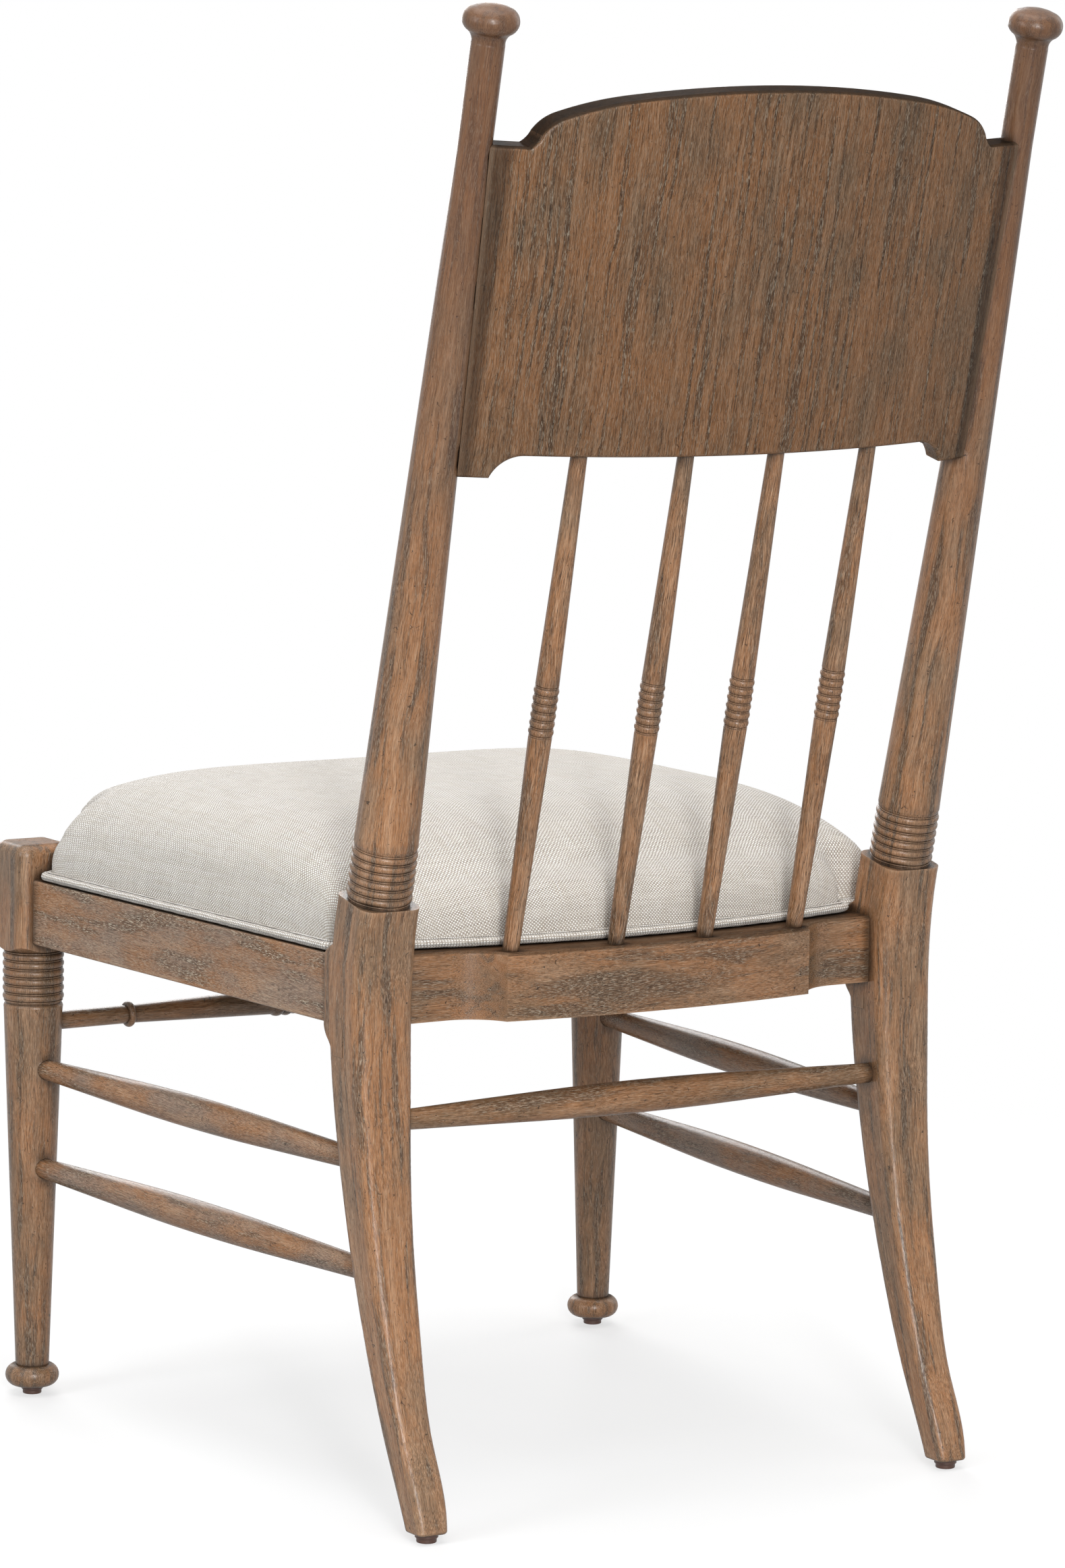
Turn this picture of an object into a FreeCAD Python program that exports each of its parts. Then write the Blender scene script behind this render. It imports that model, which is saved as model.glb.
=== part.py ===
"""Tall-backed dining side chair with turned legs, a bowed crest panel and an upholstered seat.

The sitter faces -Y, so +X is the sitter's left. Z is up and the glides stand at Z = 0. The model is
built with Y = 0 at the axes of the front legs and is centred on its own box at the end.
"""
import FreeCAD, Part
import math
import os

Vec = FreeCAD.Vector

# Stance, in millimetres
front_leg_spacing = 525.5
rear_post_spacing = 458.6
knee_setback = 462.5
overall_height = 1097.5
back_lean_deg = 12.73
back_splay_deg = 0.22

# Seat rails
seat_rail_top = 413.0
rail_height = 50.5
rail_thickness = 24.0
rail_edge_radius = 1.5
front_rail_reveal = 10.0
side_rail_front_reveal = 11.2
side_rail_rear_reveal = 3.8

# Rear rail, bowed behind the spindles and coved in to its straight ends
rear_rail_bow = 10.0
rear_rail_front_inset = 20.5
rear_rail_end_thickness = 27.5
rear_rail_shelf_step = 24.9
rear_rail_arris_offset = 132.7
rear_rail_cove_width = 37.0
rear_rail_top_radius = 2.5

# Front legs
block_side = 48.0
block_corner_radius = 10.0
block_crown_radius = 9.0
block_rise = 27.4
block_tail = 8.0
block_tongue = 9.0
front_leg_top_diameter = 46.6
front_leg_neck_diameter = 26.4
front_leg_neck_height = 24.0
front_leg_end_round = 4.0
ball_foot_diameter = 41.5
ball_foot_middle_height = 12.5
ball_foot_sole_diameter = 25.0

# Bands of small beads parted by fine rings
bead_count = 6
bead_pitch = 6.45
bead_ring_width = 1.15
leg_bead_diameter = 48.0
leg_bead_depth = 1.35
leg_ring_depth = 0.55

# Rear posts, square below the shoulder and turned above it
post_side = 48.6
post_foot_side = 24.4
post_corner_share = 0.21
post_taper_height = 345.0
post_foot_round = 2.2
post_sweep_radius = 870.0
leg_loft_steps = 6
knee_drop = 3.7
knee_blend = 24.3
post_shoulder_rise = 42.5
post_base_diameter = 46.8
post_neck_diameter = 24.3
post_cone_length = 557.5
post_base_round = 3.0
ear_depth = 2.8
ear_top_rise = 1.2
ear_slope_rise = 10.0
ear_foot_drop = 1.2
ear_tail_drop = 21.5
ear_runout_depth = 7.8
ear_corner_radius = 2.5

# Finial
knob_diameter = 40.6
knob_edge_radius = 9.0
knob_edge_angle_deg = 65.0
knob_cove_height = 9.0
knob_cove_flare = 4.4

# Crest panel, measured up the lean from its straight lower edge
crest_lower_edge_height = 785.2
crest_body_height = 222.4
crest_arch_rise = 45.7
crest_thickness = 19.5
crest_edge_radius = 3.0
crest_tab_drop = 16.9
crest_tab_width = 34.8
crest_tab_cove_width = 24.5
crest_shoulder_width = 32.8
crest_ogee_width = 24.3
crest_ogee_height = 22.7
crest_ogee_turn_width = 7.1
crest_ogee_turn_height = 8.7
crest_ogee_hollow = 0.9
crest_ogee_swell = 1.9
crest_haunch_width = 52.0
crest_haunch_rise = 13.8
crest_haunch_swell = 1.5
crest_tongue_thickness = 9.5
crest_tongue_inset = 12.0
crest_tongue_backing = 3.0
back_bow = 29.5

# Spindles
spindle_inner_offset = 39.0
spindle_outer_offset = 124.7
spindle_end_diameter = 12.2
spindle_swell_diameter = 17.4
spindle_bead_diameter = 18.6
spindle_bead_depth = 1.0
spindle_ring_depth = 0.4
spindle_bead_pitch = 6.2
spindle_band_middle_share = 0.49
spindle_tenon_diameter = 9.5
spindle_tenon_length = 19.0

# Stretchers
stretcher_end_diameter = 15.8
stretcher_middle_diameter = 24.8
stretcher_round_share = 0.2
side_stretcher_upper_height = 262.0
side_stretcher_lower_height = 183.0
rear_stretcher_height = 292.0
rear_stretcher_end_diameter = 15.0
stretcher_socket_depth = 15.0

# Front stretcher
front_stretcher_height = 296.5
front_stretcher_end_diameter = 14.4
front_stretcher_swell_diameter = 20.8
front_ring_offset = 84.5
front_ring_width = 6.0
front_ring_diameter = 20.6
front_bead_count = 10
front_bead_pitch = 6.4
front_bead_diameter = 22.6
front_collar_diameter = 24.2
front_inner_collar_width = 8.0
front_outer_collar_width = 9.0

# Joints
fit_clearance = 0.15
socket_end_gap = 0.8
dowel_diameter = 9.5
dowel_depth = 18.0
dowel_spread = 26.0
dowel_end_chamfer = 1.0

# Corner braces and their screws
brace_outer_reach = 55.0
brace_inner_reach = 90.0
brace_height = 28.0
brace_screw_diameter = 4.2
brace_screw_head_diameter = 8.4
brace_screw_head_height = 2.6
brace_screw_cover = 5.0
brace_screw_bite = 14.0
brace_screw_drop = 9.0
seat_screw_diameter = 4.8
seat_screw_head_diameter = 9.5
seat_screw_head_height = 2.8
seat_screw_bite = 9.0
screw_head_top_share = 0.67
screw_head_side_share = 0.91
screw_head_rise_share = 0.7

# Glides
glide_height = 6.5
glide_diameter = 17.0
glide_tread_diameter = 14.8
glide_step_height = 3.4
glide_edge_radius = 0.8
glide_pin_diameter = 3.4
glide_pin_length = 16.0

# Upholstered seat
seat_margin = 1.0
welt_diameter = 6.2
soft_clearance = 0.3
cover_thickness = 1.4
dust_cover_thickness = 0.6
dust_cover_inset = 14.0
hem_width = 34.0
seat_board_thickness = 12.0
seat_crown = 97.0
seat_wall = 9.0
seat_shoulder_width = 46.0
seat_back_margin = 26.5
seat_back_end_margin = 19.5
seat_corner_radius = 9.0
seat_notch_radius = 3.5
crown_half_steps = 5
crown_fullness = 3.0
crown_end_share = 0.24
shoulder_place_share = 0.7
shoulder_middle_share = 0.28
shoulder_lift_share = 0.62

# Every cutting solid runs past what it cuts by the overrun, and edges are picked to within the tolerance
overrun = 60.0
pick_tolerance = 0.02

# Places that follow from the sizes
lean = math.radians(back_lean_deg)
half_front = front_leg_spacing / 2
half_rear = rear_post_spacing / 2
half_block = block_side / 2
half_post = post_side / 2
rail_bottom = seat_rail_top - rail_height
rail_middle = seat_rail_top - rail_height / 2
knee_height = seat_rail_top - knee_drop
bend_height = knee_height - knee_blend
blend_height = knee_height + knee_blend
post_inner_face = half_rear - half_post
ear_front = knee_setback - half_post - ear_depth
front_rail_face = front_rail_reveal - half_block
front_rail_back = front_rail_face + rail_thickness
rear_rail_front = knee_setback - rear_rail_front_inset
rear_rail_end = rear_rail_front + rear_rail_end_thickness
rear_rail_arris = rear_rail_end + rear_rail_shelf_step
rear_rail_back = rear_rail_arris + rear_rail_bow
shoulder_place = (seat_rail_top + post_shoulder_rise - knee_height) / math.cos(lean)
crest_lower_edge = (crest_lower_edge_height - knee_height) / math.cos(lean)
crest_shoulder = crest_lower_edge + crest_body_height
crest_top = crest_shoulder + crest_arch_rise
bow_radius = (half_rear ** 2 + back_bow ** 2) / (2 * back_bow)
bow_centre = back_bow - bow_radius
seat_bed = seat_rail_top + dust_cover_thickness + cover_thickness
edge_inset = seat_margin + welt_diameter + soft_clearance
band_head_place = shoulder_place + leg_bead_depth + bead_count * bead_pitch + bead_ring_width
cone_foot_place = band_head_place + post_base_round
cone_head_place = shoulder_place + post_cone_length


def lathe(outline):
    """Solid turned about Z from an outline listed upwards.

    (radius, height) ends a straight line, and (middle radius, middle height, radius, height) an arc.
    """
    foot = Vec(0, 0, outline[0][1])
    here = Vec(outline[0][0], 0, outline[0][1])
    edges = [Part.makeLine(foot, here)]
    for step in outline[1:]:
        there = Vec(step[-2], 0, step[-1])
        if len(step) == 2:
            edges.append(Part.makeLine(here, there))
        else:
            edges.append(Part.Arc(here, Vec(step[0], 0, step[1]), there).toShape())
        here = there
    head = Vec(0, 0, here.z)
    if here.x > 0:
        edges.append(Part.makeLine(here, head))
    edges.append(Part.makeLine(head, foot))
    return Part.Face(Part.Wire(edges)).revolve(Vec(0, 0, 0), Vec(0, 0, 1), 360)


def rod(start, end, diameter):
    """Plain round rod between two points."""
    along = end - start
    return Part.makeCylinder(diameter / 2, along.Length, start, along)


def laid(shape, start, towards):
    """The shape with its Z axis laid from start towards another point."""
    turn = FreeCAD.Rotation(Vec(0, 0, 1), towards - start)
    return shape.transformed(FreeCAD.Placement(start, turn).toMatrix())


def mirrored(shape):
    """The shape on the other side of the chair."""
    return shape.mirror(Vec(0, 0, 0), Vec(1, 0, 0))


def both(shapes):
    """Left shapes together with their mirror images."""
    return list(shapes) + [mirrored(shape) for shape in shapes]


def cut_all(shape, tools):
    """The shape with every tool cut from it."""
    return shape.cut(Part.makeCompound(tools))


def leaned(shape):
    """A shape of the back, built upright about the knee, leaned into its place."""
    turn = FreeCAD.Rotation(Vec(1, 0, 0), -back_lean_deg)
    return shape.transformed(FreeCAD.Placement(Vec(0, knee_setback, knee_height), turn).toMatrix())


def splayed(shape):
    """Turned part of the left post, built upright over its knee, tipped outwards a little."""
    turn = FreeCAD.Rotation(Vec(0, 1, 0), back_splay_deg)
    return shape.transformed(FreeCAD.Placement(Vec(0, 0, 0), turn).toMatrix())


def box(x_range, y_range, z_range):
    """Box between two limits on each axis."""
    low = Vec(x_range[0], y_range[0], z_range[0])
    size = [limits[1] - limits[0] for limits in (x_range, y_range, z_range)]
    return Part.makeBox(size[0], size[1], size[2], low)


def prism(points, low, high):
    """Upright prism over a polygon of (x, y) points."""
    ring = [Vec(x, y, low) for x, y in points]
    return Part.Face(Part.makePolygon(ring + ring[:1])).extrude(Vec(0, 0, high - low))


def upright_edges(shape):
    """Edges that run parallel to Z."""
    return [e for e in shape.Edges if max(e.BoundBox.XLength, e.BoundBox.YLength) < pick_tolerance]


def upright_edges_at(shape, places):
    """Edges parallel to Z that stand at one of the (x, y) places, on either side of the chair."""
    found = []
    for edge in upright_edges(shape):
        foot = edge.Vertexes[0]
        if any(math.hypot(abs(foot.X) - x, foot.Y - y) < pick_tolerance for x, y in places):
            found.append(edge)
    return found


def rim_edges(shape, height):
    """Edges that lie in the level plane at a height."""
    found = []
    for edge in shape.Edges:
        bound = edge.BoundBox
        if max(abs(bound.ZMin - height), abs(bound.ZMax - height)) < pick_tolerance:
            found.append(edge)
    return found


def bead_band(foot, count, pitch, diameter, depth, ring_depth):
    """Outline steps of a band of half-round beads with a fine ring before each and after the last."""
    crest = diameter / 2
    root = crest - depth
    ring = root + ring_depth
    steps = [(root, foot)]
    place = foot
    for _ in range(count):
        steps.append((ring, place + bead_ring_width / 2, root, place + bead_ring_width))
        middle = place + (bead_ring_width + pitch) / 2
        steps.append((crest, middle, root, place + pitch))
        place += pitch
    steps.append((ring, place + bead_ring_width / 2, root, place + bead_ring_width))
    return steps


def band_length(count, pitch):
    """Length of a band of beads with its last ring."""
    return count * pitch + bead_ring_width


def side_face(y):
    """X of the left side rail's outer face, which narrows towards the back."""
    front = half_front + half_block - side_rail_front_reveal
    rear = half_rear + half_post - side_rail_rear_reveal
    return front + (rear - front) * (y - half_block) / (ear_front - half_block)


def post_centre(z):
    """Y of the rear post's centre line below its shoulder."""
    if z <= bend_height:
        drop = bend_height - z
        return knee_setback + post_sweep_radius - math.sqrt(post_sweep_radius ** 2 - drop ** 2)
    if z >= blend_height:
        return knee_setback + (z - knee_height) * math.tan(lean)
    return knee_setback + math.tan(lean) * (z - bend_height) ** 2 / (4 * knee_blend)


def post_width(z):
    """Side of the rear post's rounded square section."""
    share = min(1.0, (z - glide_height) / (post_taper_height - glide_height))
    return post_foot_side + (post_side - post_foot_side) * share


def rounded_square(centre, side, radius):
    """Level rounded square as a closed wire of lines and quarter rounds."""
    flat = side / 2 - radius
    edges = []
    for quarter in range(4):
        turn = math.radians(90 * quarter)
        across = Vec(math.cos(turn), math.sin(turn), 0)
        ahead = Vec(-math.sin(turn), math.cos(turn), 0)
        start = centre + across * (side / 2) - ahead * flat
        end = centre + across * (side / 2) + ahead * flat
        corner = centre + (across + ahead) * flat
        middle = corner + (across + ahead).normalize() * radius
        last = corner + ahead * radius
        edges.append(Part.makeLine(start, end))
        edges.append(Part.Arc(end, middle, last).toShape())
    return Part.Wire(edges)


# Rails

def side_rail():
    """Left side rail: straight, and a little splayed, from the front block to the ear."""
    front = side_face(half_block)
    rear = side_face(ear_front)
    plan = [(front, half_block), (rear, ear_front), (rear - rail_thickness, ear_front),
            (front - rail_thickness, half_block)]
    rail = prism(plan, rail_bottom, seat_rail_top)
    long_edges = [e for e in rail.Edges if e.Length > rail_thickness * 4]
    return rail.makeFillet(rail_edge_radius, long_edges)


def front_rail():
    """Front rail between the inner faces of the front blocks."""
    reach = half_front - half_block
    rail = box((-reach, reach), (front_rail_face, front_rail_back), (rail_bottom, seat_rail_top))
    long_edges = [e for e in rail.Edges if e.Length > rail_thickness * 4]
    return rail.makeFillet(rail_edge_radius, long_edges)


def rear_rail():
    """Rear rail: a bowed shelf for the spindles, coved in to straight ends at the posts."""
    reach = post_inner_face - fit_clearance
    cove_end = rear_rail_arris_offset + rear_rail_cove_width
    span = math.hypot(rear_rail_cove_width, rear_rail_shelf_step)
    cove_radius = span ** 2 / (2 * rear_rail_shelf_step)
    turn = math.asin(rear_rail_cove_width / cove_radius) / 2
    middle_x = cove_end - cove_radius * math.sin(turn)
    middle_y = rear_rail_end + cove_radius * (1 - math.cos(turn))
    z = rail_bottom
    edges = [
        Part.makeLine(Vec(-reach, rear_rail_front, z), Vec(reach, rear_rail_front, z)),
        Part.makeLine(Vec(reach, rear_rail_front, z), Vec(reach, rear_rail_end, z)),
        Part.makeLine(Vec(reach, rear_rail_end, z), Vec(cove_end, rear_rail_end, z)),
        Part.Arc(Vec(cove_end, rear_rail_end, z), Vec(middle_x, middle_y, z),
                 Vec(rear_rail_arris_offset, rear_rail_arris, z)).toShape(),
        Part.Arc(Vec(rear_rail_arris_offset, rear_rail_arris, z), Vec(0, rear_rail_back, z),
                 Vec(-rear_rail_arris_offset, rear_rail_arris, z)).toShape(),
        Part.Arc(Vec(-rear_rail_arris_offset, rear_rail_arris, z), Vec(-middle_x, middle_y, z),
                 Vec(-cove_end, rear_rail_end, z)).toShape(),
        Part.makeLine(Vec(-cove_end, rear_rail_end, z), Vec(-reach, rear_rail_end, z)),
        Part.makeLine(Vec(-reach, rear_rail_end, z), Vec(-reach, rear_rail_front, z)),
    ]
    rail = Part.Face(Part.Wire(edges)).extrude(Vec(0, 0, rail_height))
    rim = [e for e in rim_edges(rail, seat_rail_top) if e.BoundBox.YMin > rear_rail_end - pick_tolerance]
    return rail.makeFillet(rear_rail_top_radius, rim)


# Front legs

def front_leg():
    """Left front leg: domed block, band of beads, long taper and ball foot."""
    block_foot = rail_bottom - block_tail
    block_head = seat_rail_top + block_rise
    band_foot = block_foot - band_length(bead_count, bead_pitch)
    shaft_head = band_foot - leg_bead_depth
    top = front_leg_top_diameter / 2
    neck = front_leg_neck_diameter / 2
    slope = (top - neck) / (shaft_head - front_leg_neck_height)
    round_foot = top - slope * front_leg_end_round
    outline = [
        (ball_foot_sole_diameter / 2, glide_height),
        (ball_foot_diameter / 2, ball_foot_middle_height, neck, front_leg_neck_height),
        (round_foot, shaft_head - front_leg_end_round),
        (top - leg_bead_depth / 4, shaft_head - front_leg_end_round / 3, top - leg_bead_depth, shaft_head),
    ]
    root = leg_bead_diameter / 2 - leg_bead_depth
    outline += bead_band(band_foot, bead_count, bead_pitch, leg_bead_diameter, leg_bead_depth, leg_ring_depth)
    outline.append((root, block_foot + block_tail))
    shaft = lathe(outline)
    block = box((-half_block, half_block), (-half_block, half_block), (block_foot, block_head))
    block = block.makeFillet(block_corner_radius, upright_edges(block))
    block = block.makeFillet(block_crown_radius, rim_edges(block, block_head))
    corner = half_block * math.sqrt(2)
    tongue = lathe([
        (half_block - leg_bead_depth, block_foot),
        (half_block + block_tongue / 3, block_foot + block_tongue / 3, corner, block_foot + block_tongue),
        (corner, block_head),
    ])
    leg = shaft.fuse(block.common(tongue)).removeSplitter()
    leg.translate(Vec(half_front, 0, 0))
    return leg


# Rear posts

def post_turning():
    """Turned upper part of a post about its own axis."""
    band_foot = shoulder_place + leg_bead_depth
    root = leg_bead_diameter / 2 - leg_bead_depth
    base = post_base_diameter / 2
    neck = post_neck_diameter / 2
    edge = math.radians(knob_edge_angle_deg)
    knob = knob_diameter / 2
    rim_centre = knob - knob_edge_radius
    rim_x = rim_centre + knob_edge_radius * math.cos(edge)
    rim_z = knob_edge_radius * math.sin(edge)
    dome_radius = rim_x / math.cos(edge)
    dome_drop = rim_x * math.tan(edge) - rim_z
    dome_half = (edge + math.pi / 2) / 2
    knob_top = (overall_height - knee_height) / math.cos(lean)
    knob_middle = knob_top + dome_drop - dome_radius
    cove_head = knob_middle - rim_z
    outline = [(root, shoulder_place - half_post), (root, band_foot)]
    outline += bead_band(band_foot, bead_count, bead_pitch, leg_bead_diameter, leg_bead_depth,
                         leg_ring_depth)[1:]
    dome_x = dome_radius * math.cos(dome_half)
    dome_z = knob_middle - dome_drop + dome_radius * math.sin(dome_half)
    outline += [
        (base - leg_bead_depth / 4, band_head_place + post_base_round / 2, base, cone_foot_place),
        (neck, cone_head_place),
        (neck, cove_head - knob_cove_height),
        (neck + knob_cove_flare / 4, cove_head - knob_cove_height / 3, neck + knob_cove_flare, cove_head),
        (knob, knob_middle, rim_x, knob_middle + rim_z),
        (dome_x, dome_z, 0, knob_top),
    ]
    return lathe(outline)


def post_cope():
    """Cutting solid that hollows the left end of the crest panel to fit round its post."""
    base = post_base_diameter / 2 + fit_clearance
    neck = post_neck_diameter / 2 + fit_clearance
    outline = [(base, band_head_place), (base, cone_foot_place), (neck, cone_head_place), (neck, crest_top)]
    cope = splayed(lathe(outline))
    cope.translate(Vec(half_rear, 0, 0))
    return cope


def rear_post():
    """Left rear post with its swept leg, seat block, ear, beads, long cone and finial."""
    rise = bend_height - glide_height
    levels = [glide_height + rise * step / leg_loft_steps for step in range(leg_loft_steps + 1)]
    head = knee_height + shoulder_place + half_post
    levels += [blend_height, (blend_height + head) / 2, head]
    sections = []
    for z in levels:
        side = post_width(z)
        sections.append(rounded_square(Vec(0, post_centre(z), z), side, side * post_corner_share))
    leg = Part.makeLoft(sections, True, False)
    leg = leg.makeFillet(post_foot_round, rim_edges(leg, glide_height))
    above = box((-overrun, overrun), (-overrun, overrun), (shoulder_place, shoulder_place + overrun * 2))
    leg = leg.cut(leaned(above))
    leg = leg.fuse(ear())
    post = leg.fuse(leaned(splayed(post_turning()))).removeSplitter()
    post.translate(Vec(half_rear, 0, 0))
    return post


def ear():
    """Forward swelling of the post that takes the end of the side rail."""
    slope_head = seat_rail_top + ear_slope_rise
    face_head = seat_rail_top + ear_top_rise
    face_foot = rail_bottom - ear_foot_drop
    tail = rail_bottom - ear_tail_drop
    head_y = post_centre(slope_head) - half_post + ear_runout_depth
    tail_y = post_centre(tail) - post_width(tail) / 2 + ear_runout_depth
    turn_y = (ear_front + tail_y) / 2
    turn_z = (face_foot + tail) / 2
    hollow = (tail_y - ear_front) / 16
    rise = (face_foot - tail) / 16
    head = Vec(-half_post, head_y, slope_head)
    face_top = Vec(-half_post, ear_front, face_head)
    face_end = Vec(-half_post, ear_front, face_foot)
    turn = Vec(-half_post, turn_y, turn_z)
    end = Vec(-half_post, tail_y, tail)
    inner_foot = Vec(-half_post, post_centre(tail), tail)
    inner_head = Vec(-half_post, post_centre(tail), slope_head)
    crown = Vec(-half_post, (head_y + ear_front) / 2 - hollow, (slope_head + face_head) / 2 + hollow)
    convex = Vec(-half_post, (ear_front + turn_y) / 2 - hollow, (face_foot + turn_z) / 2 - rise / 2)
    concave = Vec(-half_post, (turn_y + tail_y) / 2 + hollow, (turn_z + tail) / 2 + rise / 2)
    edges = [
        Part.Arc(head, crown, face_top).toShape(),
        Part.makeLine(face_top, face_end),
        Part.Arc(face_end, convex, turn).toShape(),
        Part.Arc(turn, concave, end).toShape(),
        Part.makeLine(end, inner_foot),
        Part.makeLine(inner_foot, inner_head),
        Part.makeLine(inner_head, head),
    ]
    swelling = Part.Face(Part.Wire(edges)).extrude(Vec(post_side, 0, 0))
    corners = []
    for edge in swelling.Edges:
        bound = edge.BoundBox
        outside = bound.YMax < knee_setback - pick_tolerance and bound.ZMin > turn_z - pick_tolerance
        if outside and bound.XLength < pick_tolerance:
            corners.append(edge)
    return swelling.makeFillet(ear_corner_radius, corners)


# Crest panel

def bowed_middle(start, end, sag):
    """Middle of an arc in the plane of X and Z that bows by a sag to the left of its way."""
    along = (end - start).normalize()
    return (start + end) / 2 + Vec(-along.z, 0, along.x) * sag


def crest_outline():
    """Outline of the crest panel seen square to it, as a face in the plane of X and the lean."""
    tab = half_rear - crest_tab_width
    arch = tab - crest_tab_cove_width
    low = crest_lower_edge - crest_tab_drop
    shoulder = half_rear - crest_shoulder_width
    ogee = shoulder - crest_ogee_width
    ogee_top = crest_shoulder + crest_ogee_height
    haunch = ogee - crest_haunch_width
    cove_sag = math.tan(math.atan2(crest_tab_drop, crest_tab_cove_width) / 2) \
        * math.hypot(crest_tab_drop, crest_tab_cove_width) / 2
    steps = [
        (arch, crest_lower_edge, 0),
        (tab, low, cove_sag),
        (half_rear, low, 0),
        (half_rear, crest_shoulder, 0),
        (shoulder, crest_shoulder, 0),
        (shoulder - crest_ogee_turn_width, crest_shoulder + crest_ogee_turn_height, crest_ogee_hollow),
        (ogee, ogee_top, -crest_ogee_swell),
        (haunch, ogee_top + crest_haunch_rise, -crest_haunch_swell),
    ]
    edges = []
    here = Vec(0, 0, crest_lower_edge)
    for x, z, sag in steps:
        there = Vec(x, 0, z)
        if sag:
            edges.append(Part.Arc(here, bowed_middle(here, there, sag), there).toShape())
        else:
            edges.append(Part.makeLine(here, there))
        here = there
    edges += [mirrored(edge) for edge in edges]
    edges.append(Part.Arc(here, Vec(0, 0, crest_top), Vec(-here.x, 0, here.z)).toShape())
    return Part.Face(Part.Wire(Part.__sortEdges__(edges)))


def crest_panel():
    """Bowed crest panel with coped ends and a tongue into each post."""
    face = crest_outline()
    face.translate(Vec(0, -overrun, 0))
    slab = face.extrude(Vec(0, 2 * overrun, 0))
    low = crest_lower_edge - crest_tab_drop
    height = crest_top - low + overrun
    outer = Part.makeCylinder(bow_radius + crest_thickness / 2, height, Vec(0, bow_centre, low - overrun / 2))
    inner = Part.makeCylinder(bow_radius - crest_thickness / 2, height, Vec(0, bow_centre, low - overrun / 2))
    panel = slab.common(outer.cut(inner))
    rims = []
    for edge in panel.Edges:
        bound = edge.BoundBox
        inboard = abs(bound.Center.x) < half_rear - crest_thickness / 2
        if inboard and bound.XLength > bound.YLength and edge.Length > crest_edge_radius:
            rims.append(edge)
    panel = panel.makeFillet(crest_edge_radius, rims)
    copes = both([post_cope()])
    tongues = both([crest_tongue(0)])
    return cut_all(panel, copes).fuse(tongues).removeSplitter()


def crest_tongue(growth):
    """Tongue at the left end of the crest panel, or with growth the mortise for it."""
    root = half_rear - post_base_diameter
    tip = half_rear - crest_tongue_backing + (socket_end_gap if growth else 0)
    half = crest_tongue_thickness / 2 + growth
    y_middle = bow_centre + math.sqrt(bow_radius ** 2 - (half_rear - post_neck_diameter / 2) ** 2)
    low = crest_lower_edge - crest_tab_drop + crest_tongue_inset - growth
    high = crest_shoulder - crest_tongue_inset + growth
    return box((root, tip), (y_middle - half, y_middle + half), (low, high))


# Spindles

def spindle_place(offset):
    """Distance of a spindle's axis behind the plane of the posts' axes."""
    return bow_centre + math.sqrt(bow_radius ** 2 - offset ** 2)


def spindle_foot(offset):
    """Place up the lean where a spindle's axis meets the top of the rear rail."""
    return (seat_rail_top - knee_height + spindle_place(offset) * math.sin(lean)) / math.cos(lean)


def spindle(offset):
    """Turned spindle that leans between the rear rail and the crest panel."""
    foot = spindle_foot(offset)
    length = crest_lower_edge - foot
    end = spindle_end_diameter / 2
    swell = spindle_swell_diameter / 2
    band = band_length(bead_count, spindle_bead_pitch)
    band_foot = foot + length * spindle_band_middle_share - band / 2
    root = spindle_bead_diameter / 2 - spindle_bead_depth
    outline = [(end, foot - spindle_end_diameter), (end, foot), (swell, band_foot - bead_ring_width / 2)]
    outline += bead_band(band_foot, bead_count, spindle_bead_pitch, spindle_bead_diameter,
                         spindle_bead_depth, spindle_ring_depth)
    outline += [(swell, band_foot + band + bead_ring_width / 2), (end, crest_lower_edge)]
    body = lathe(outline)
    body.translate(Vec(offset, spindle_place(offset), 0))
    body = leaned(body)
    below = box((offset - overrun, offset + overrun), (knee_setback - overrun, knee_setback + 2 * overrun),
                (seat_rail_top - overrun, seat_rail_top))
    return body.cut(below).fuse(spindle_tenons(offset, 0, 0)).removeSplitter()


def spindle_tenons(offset, growth, depth_growth):
    """Round tenons at both ends of a spindle, or with growth the holes for them."""
    foot = spindle_foot(offset)
    radius = spindle_tenon_diameter / 2 + growth
    overlap = spindle_end_diameter / 2
    place = spindle_place(offset)
    length = spindle_tenon_length + overlap + depth_growth
    lower = Part.makeCylinder(radius, length, Vec(offset, place, foot - spindle_tenon_length - depth_growth))
    upper = Part.makeCylinder(radius, length, Vec(offset, place, crest_lower_edge - overlap))
    return leaned(lower.fuse(upper))


# Stretchers

def swelled_stretcher(start, end, end_diameter):
    """Round stretcher that tapers both ways from a rounded middle, between two places inside its sockets."""
    length = (end - start).Length
    thin = end_diameter / 2
    thick = stretcher_middle_diameter / 2
    lead = stretcher_socket_depth + end_diameter / 8
    half_round = length * stretcher_round_share
    taper = length / 2 - lead - half_round
    joint = thin + (thick - thin) * taper / (taper + half_round / 2)
    body = lathe([
        (thin, 0),
        (thin, lead),
        (joint, lead + taper),
        (thick, length / 2, joint, length - lead - taper),
        (thin, length - lead),
        (thin, length),
    ])
    return laid(body, start, end)


def side_stretcher_ends(height):
    """Both ends of the left side stretcher's centre line at one height, inside its sockets."""
    leg_radius = front_leg_radius(height)
    post_y = post_centre(height) - post_width(height) / 2
    start = Vec(half_front, 0, height)
    end = Vec(half_rear, post_centre(height), height)
    along = (end - start).normalize()
    front = start + along * (leg_radius - stretcher_socket_depth)
    rear = end - along * ((post_centre(height) - post_y) / along.y - stretcher_socket_depth)
    return front, rear


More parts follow.
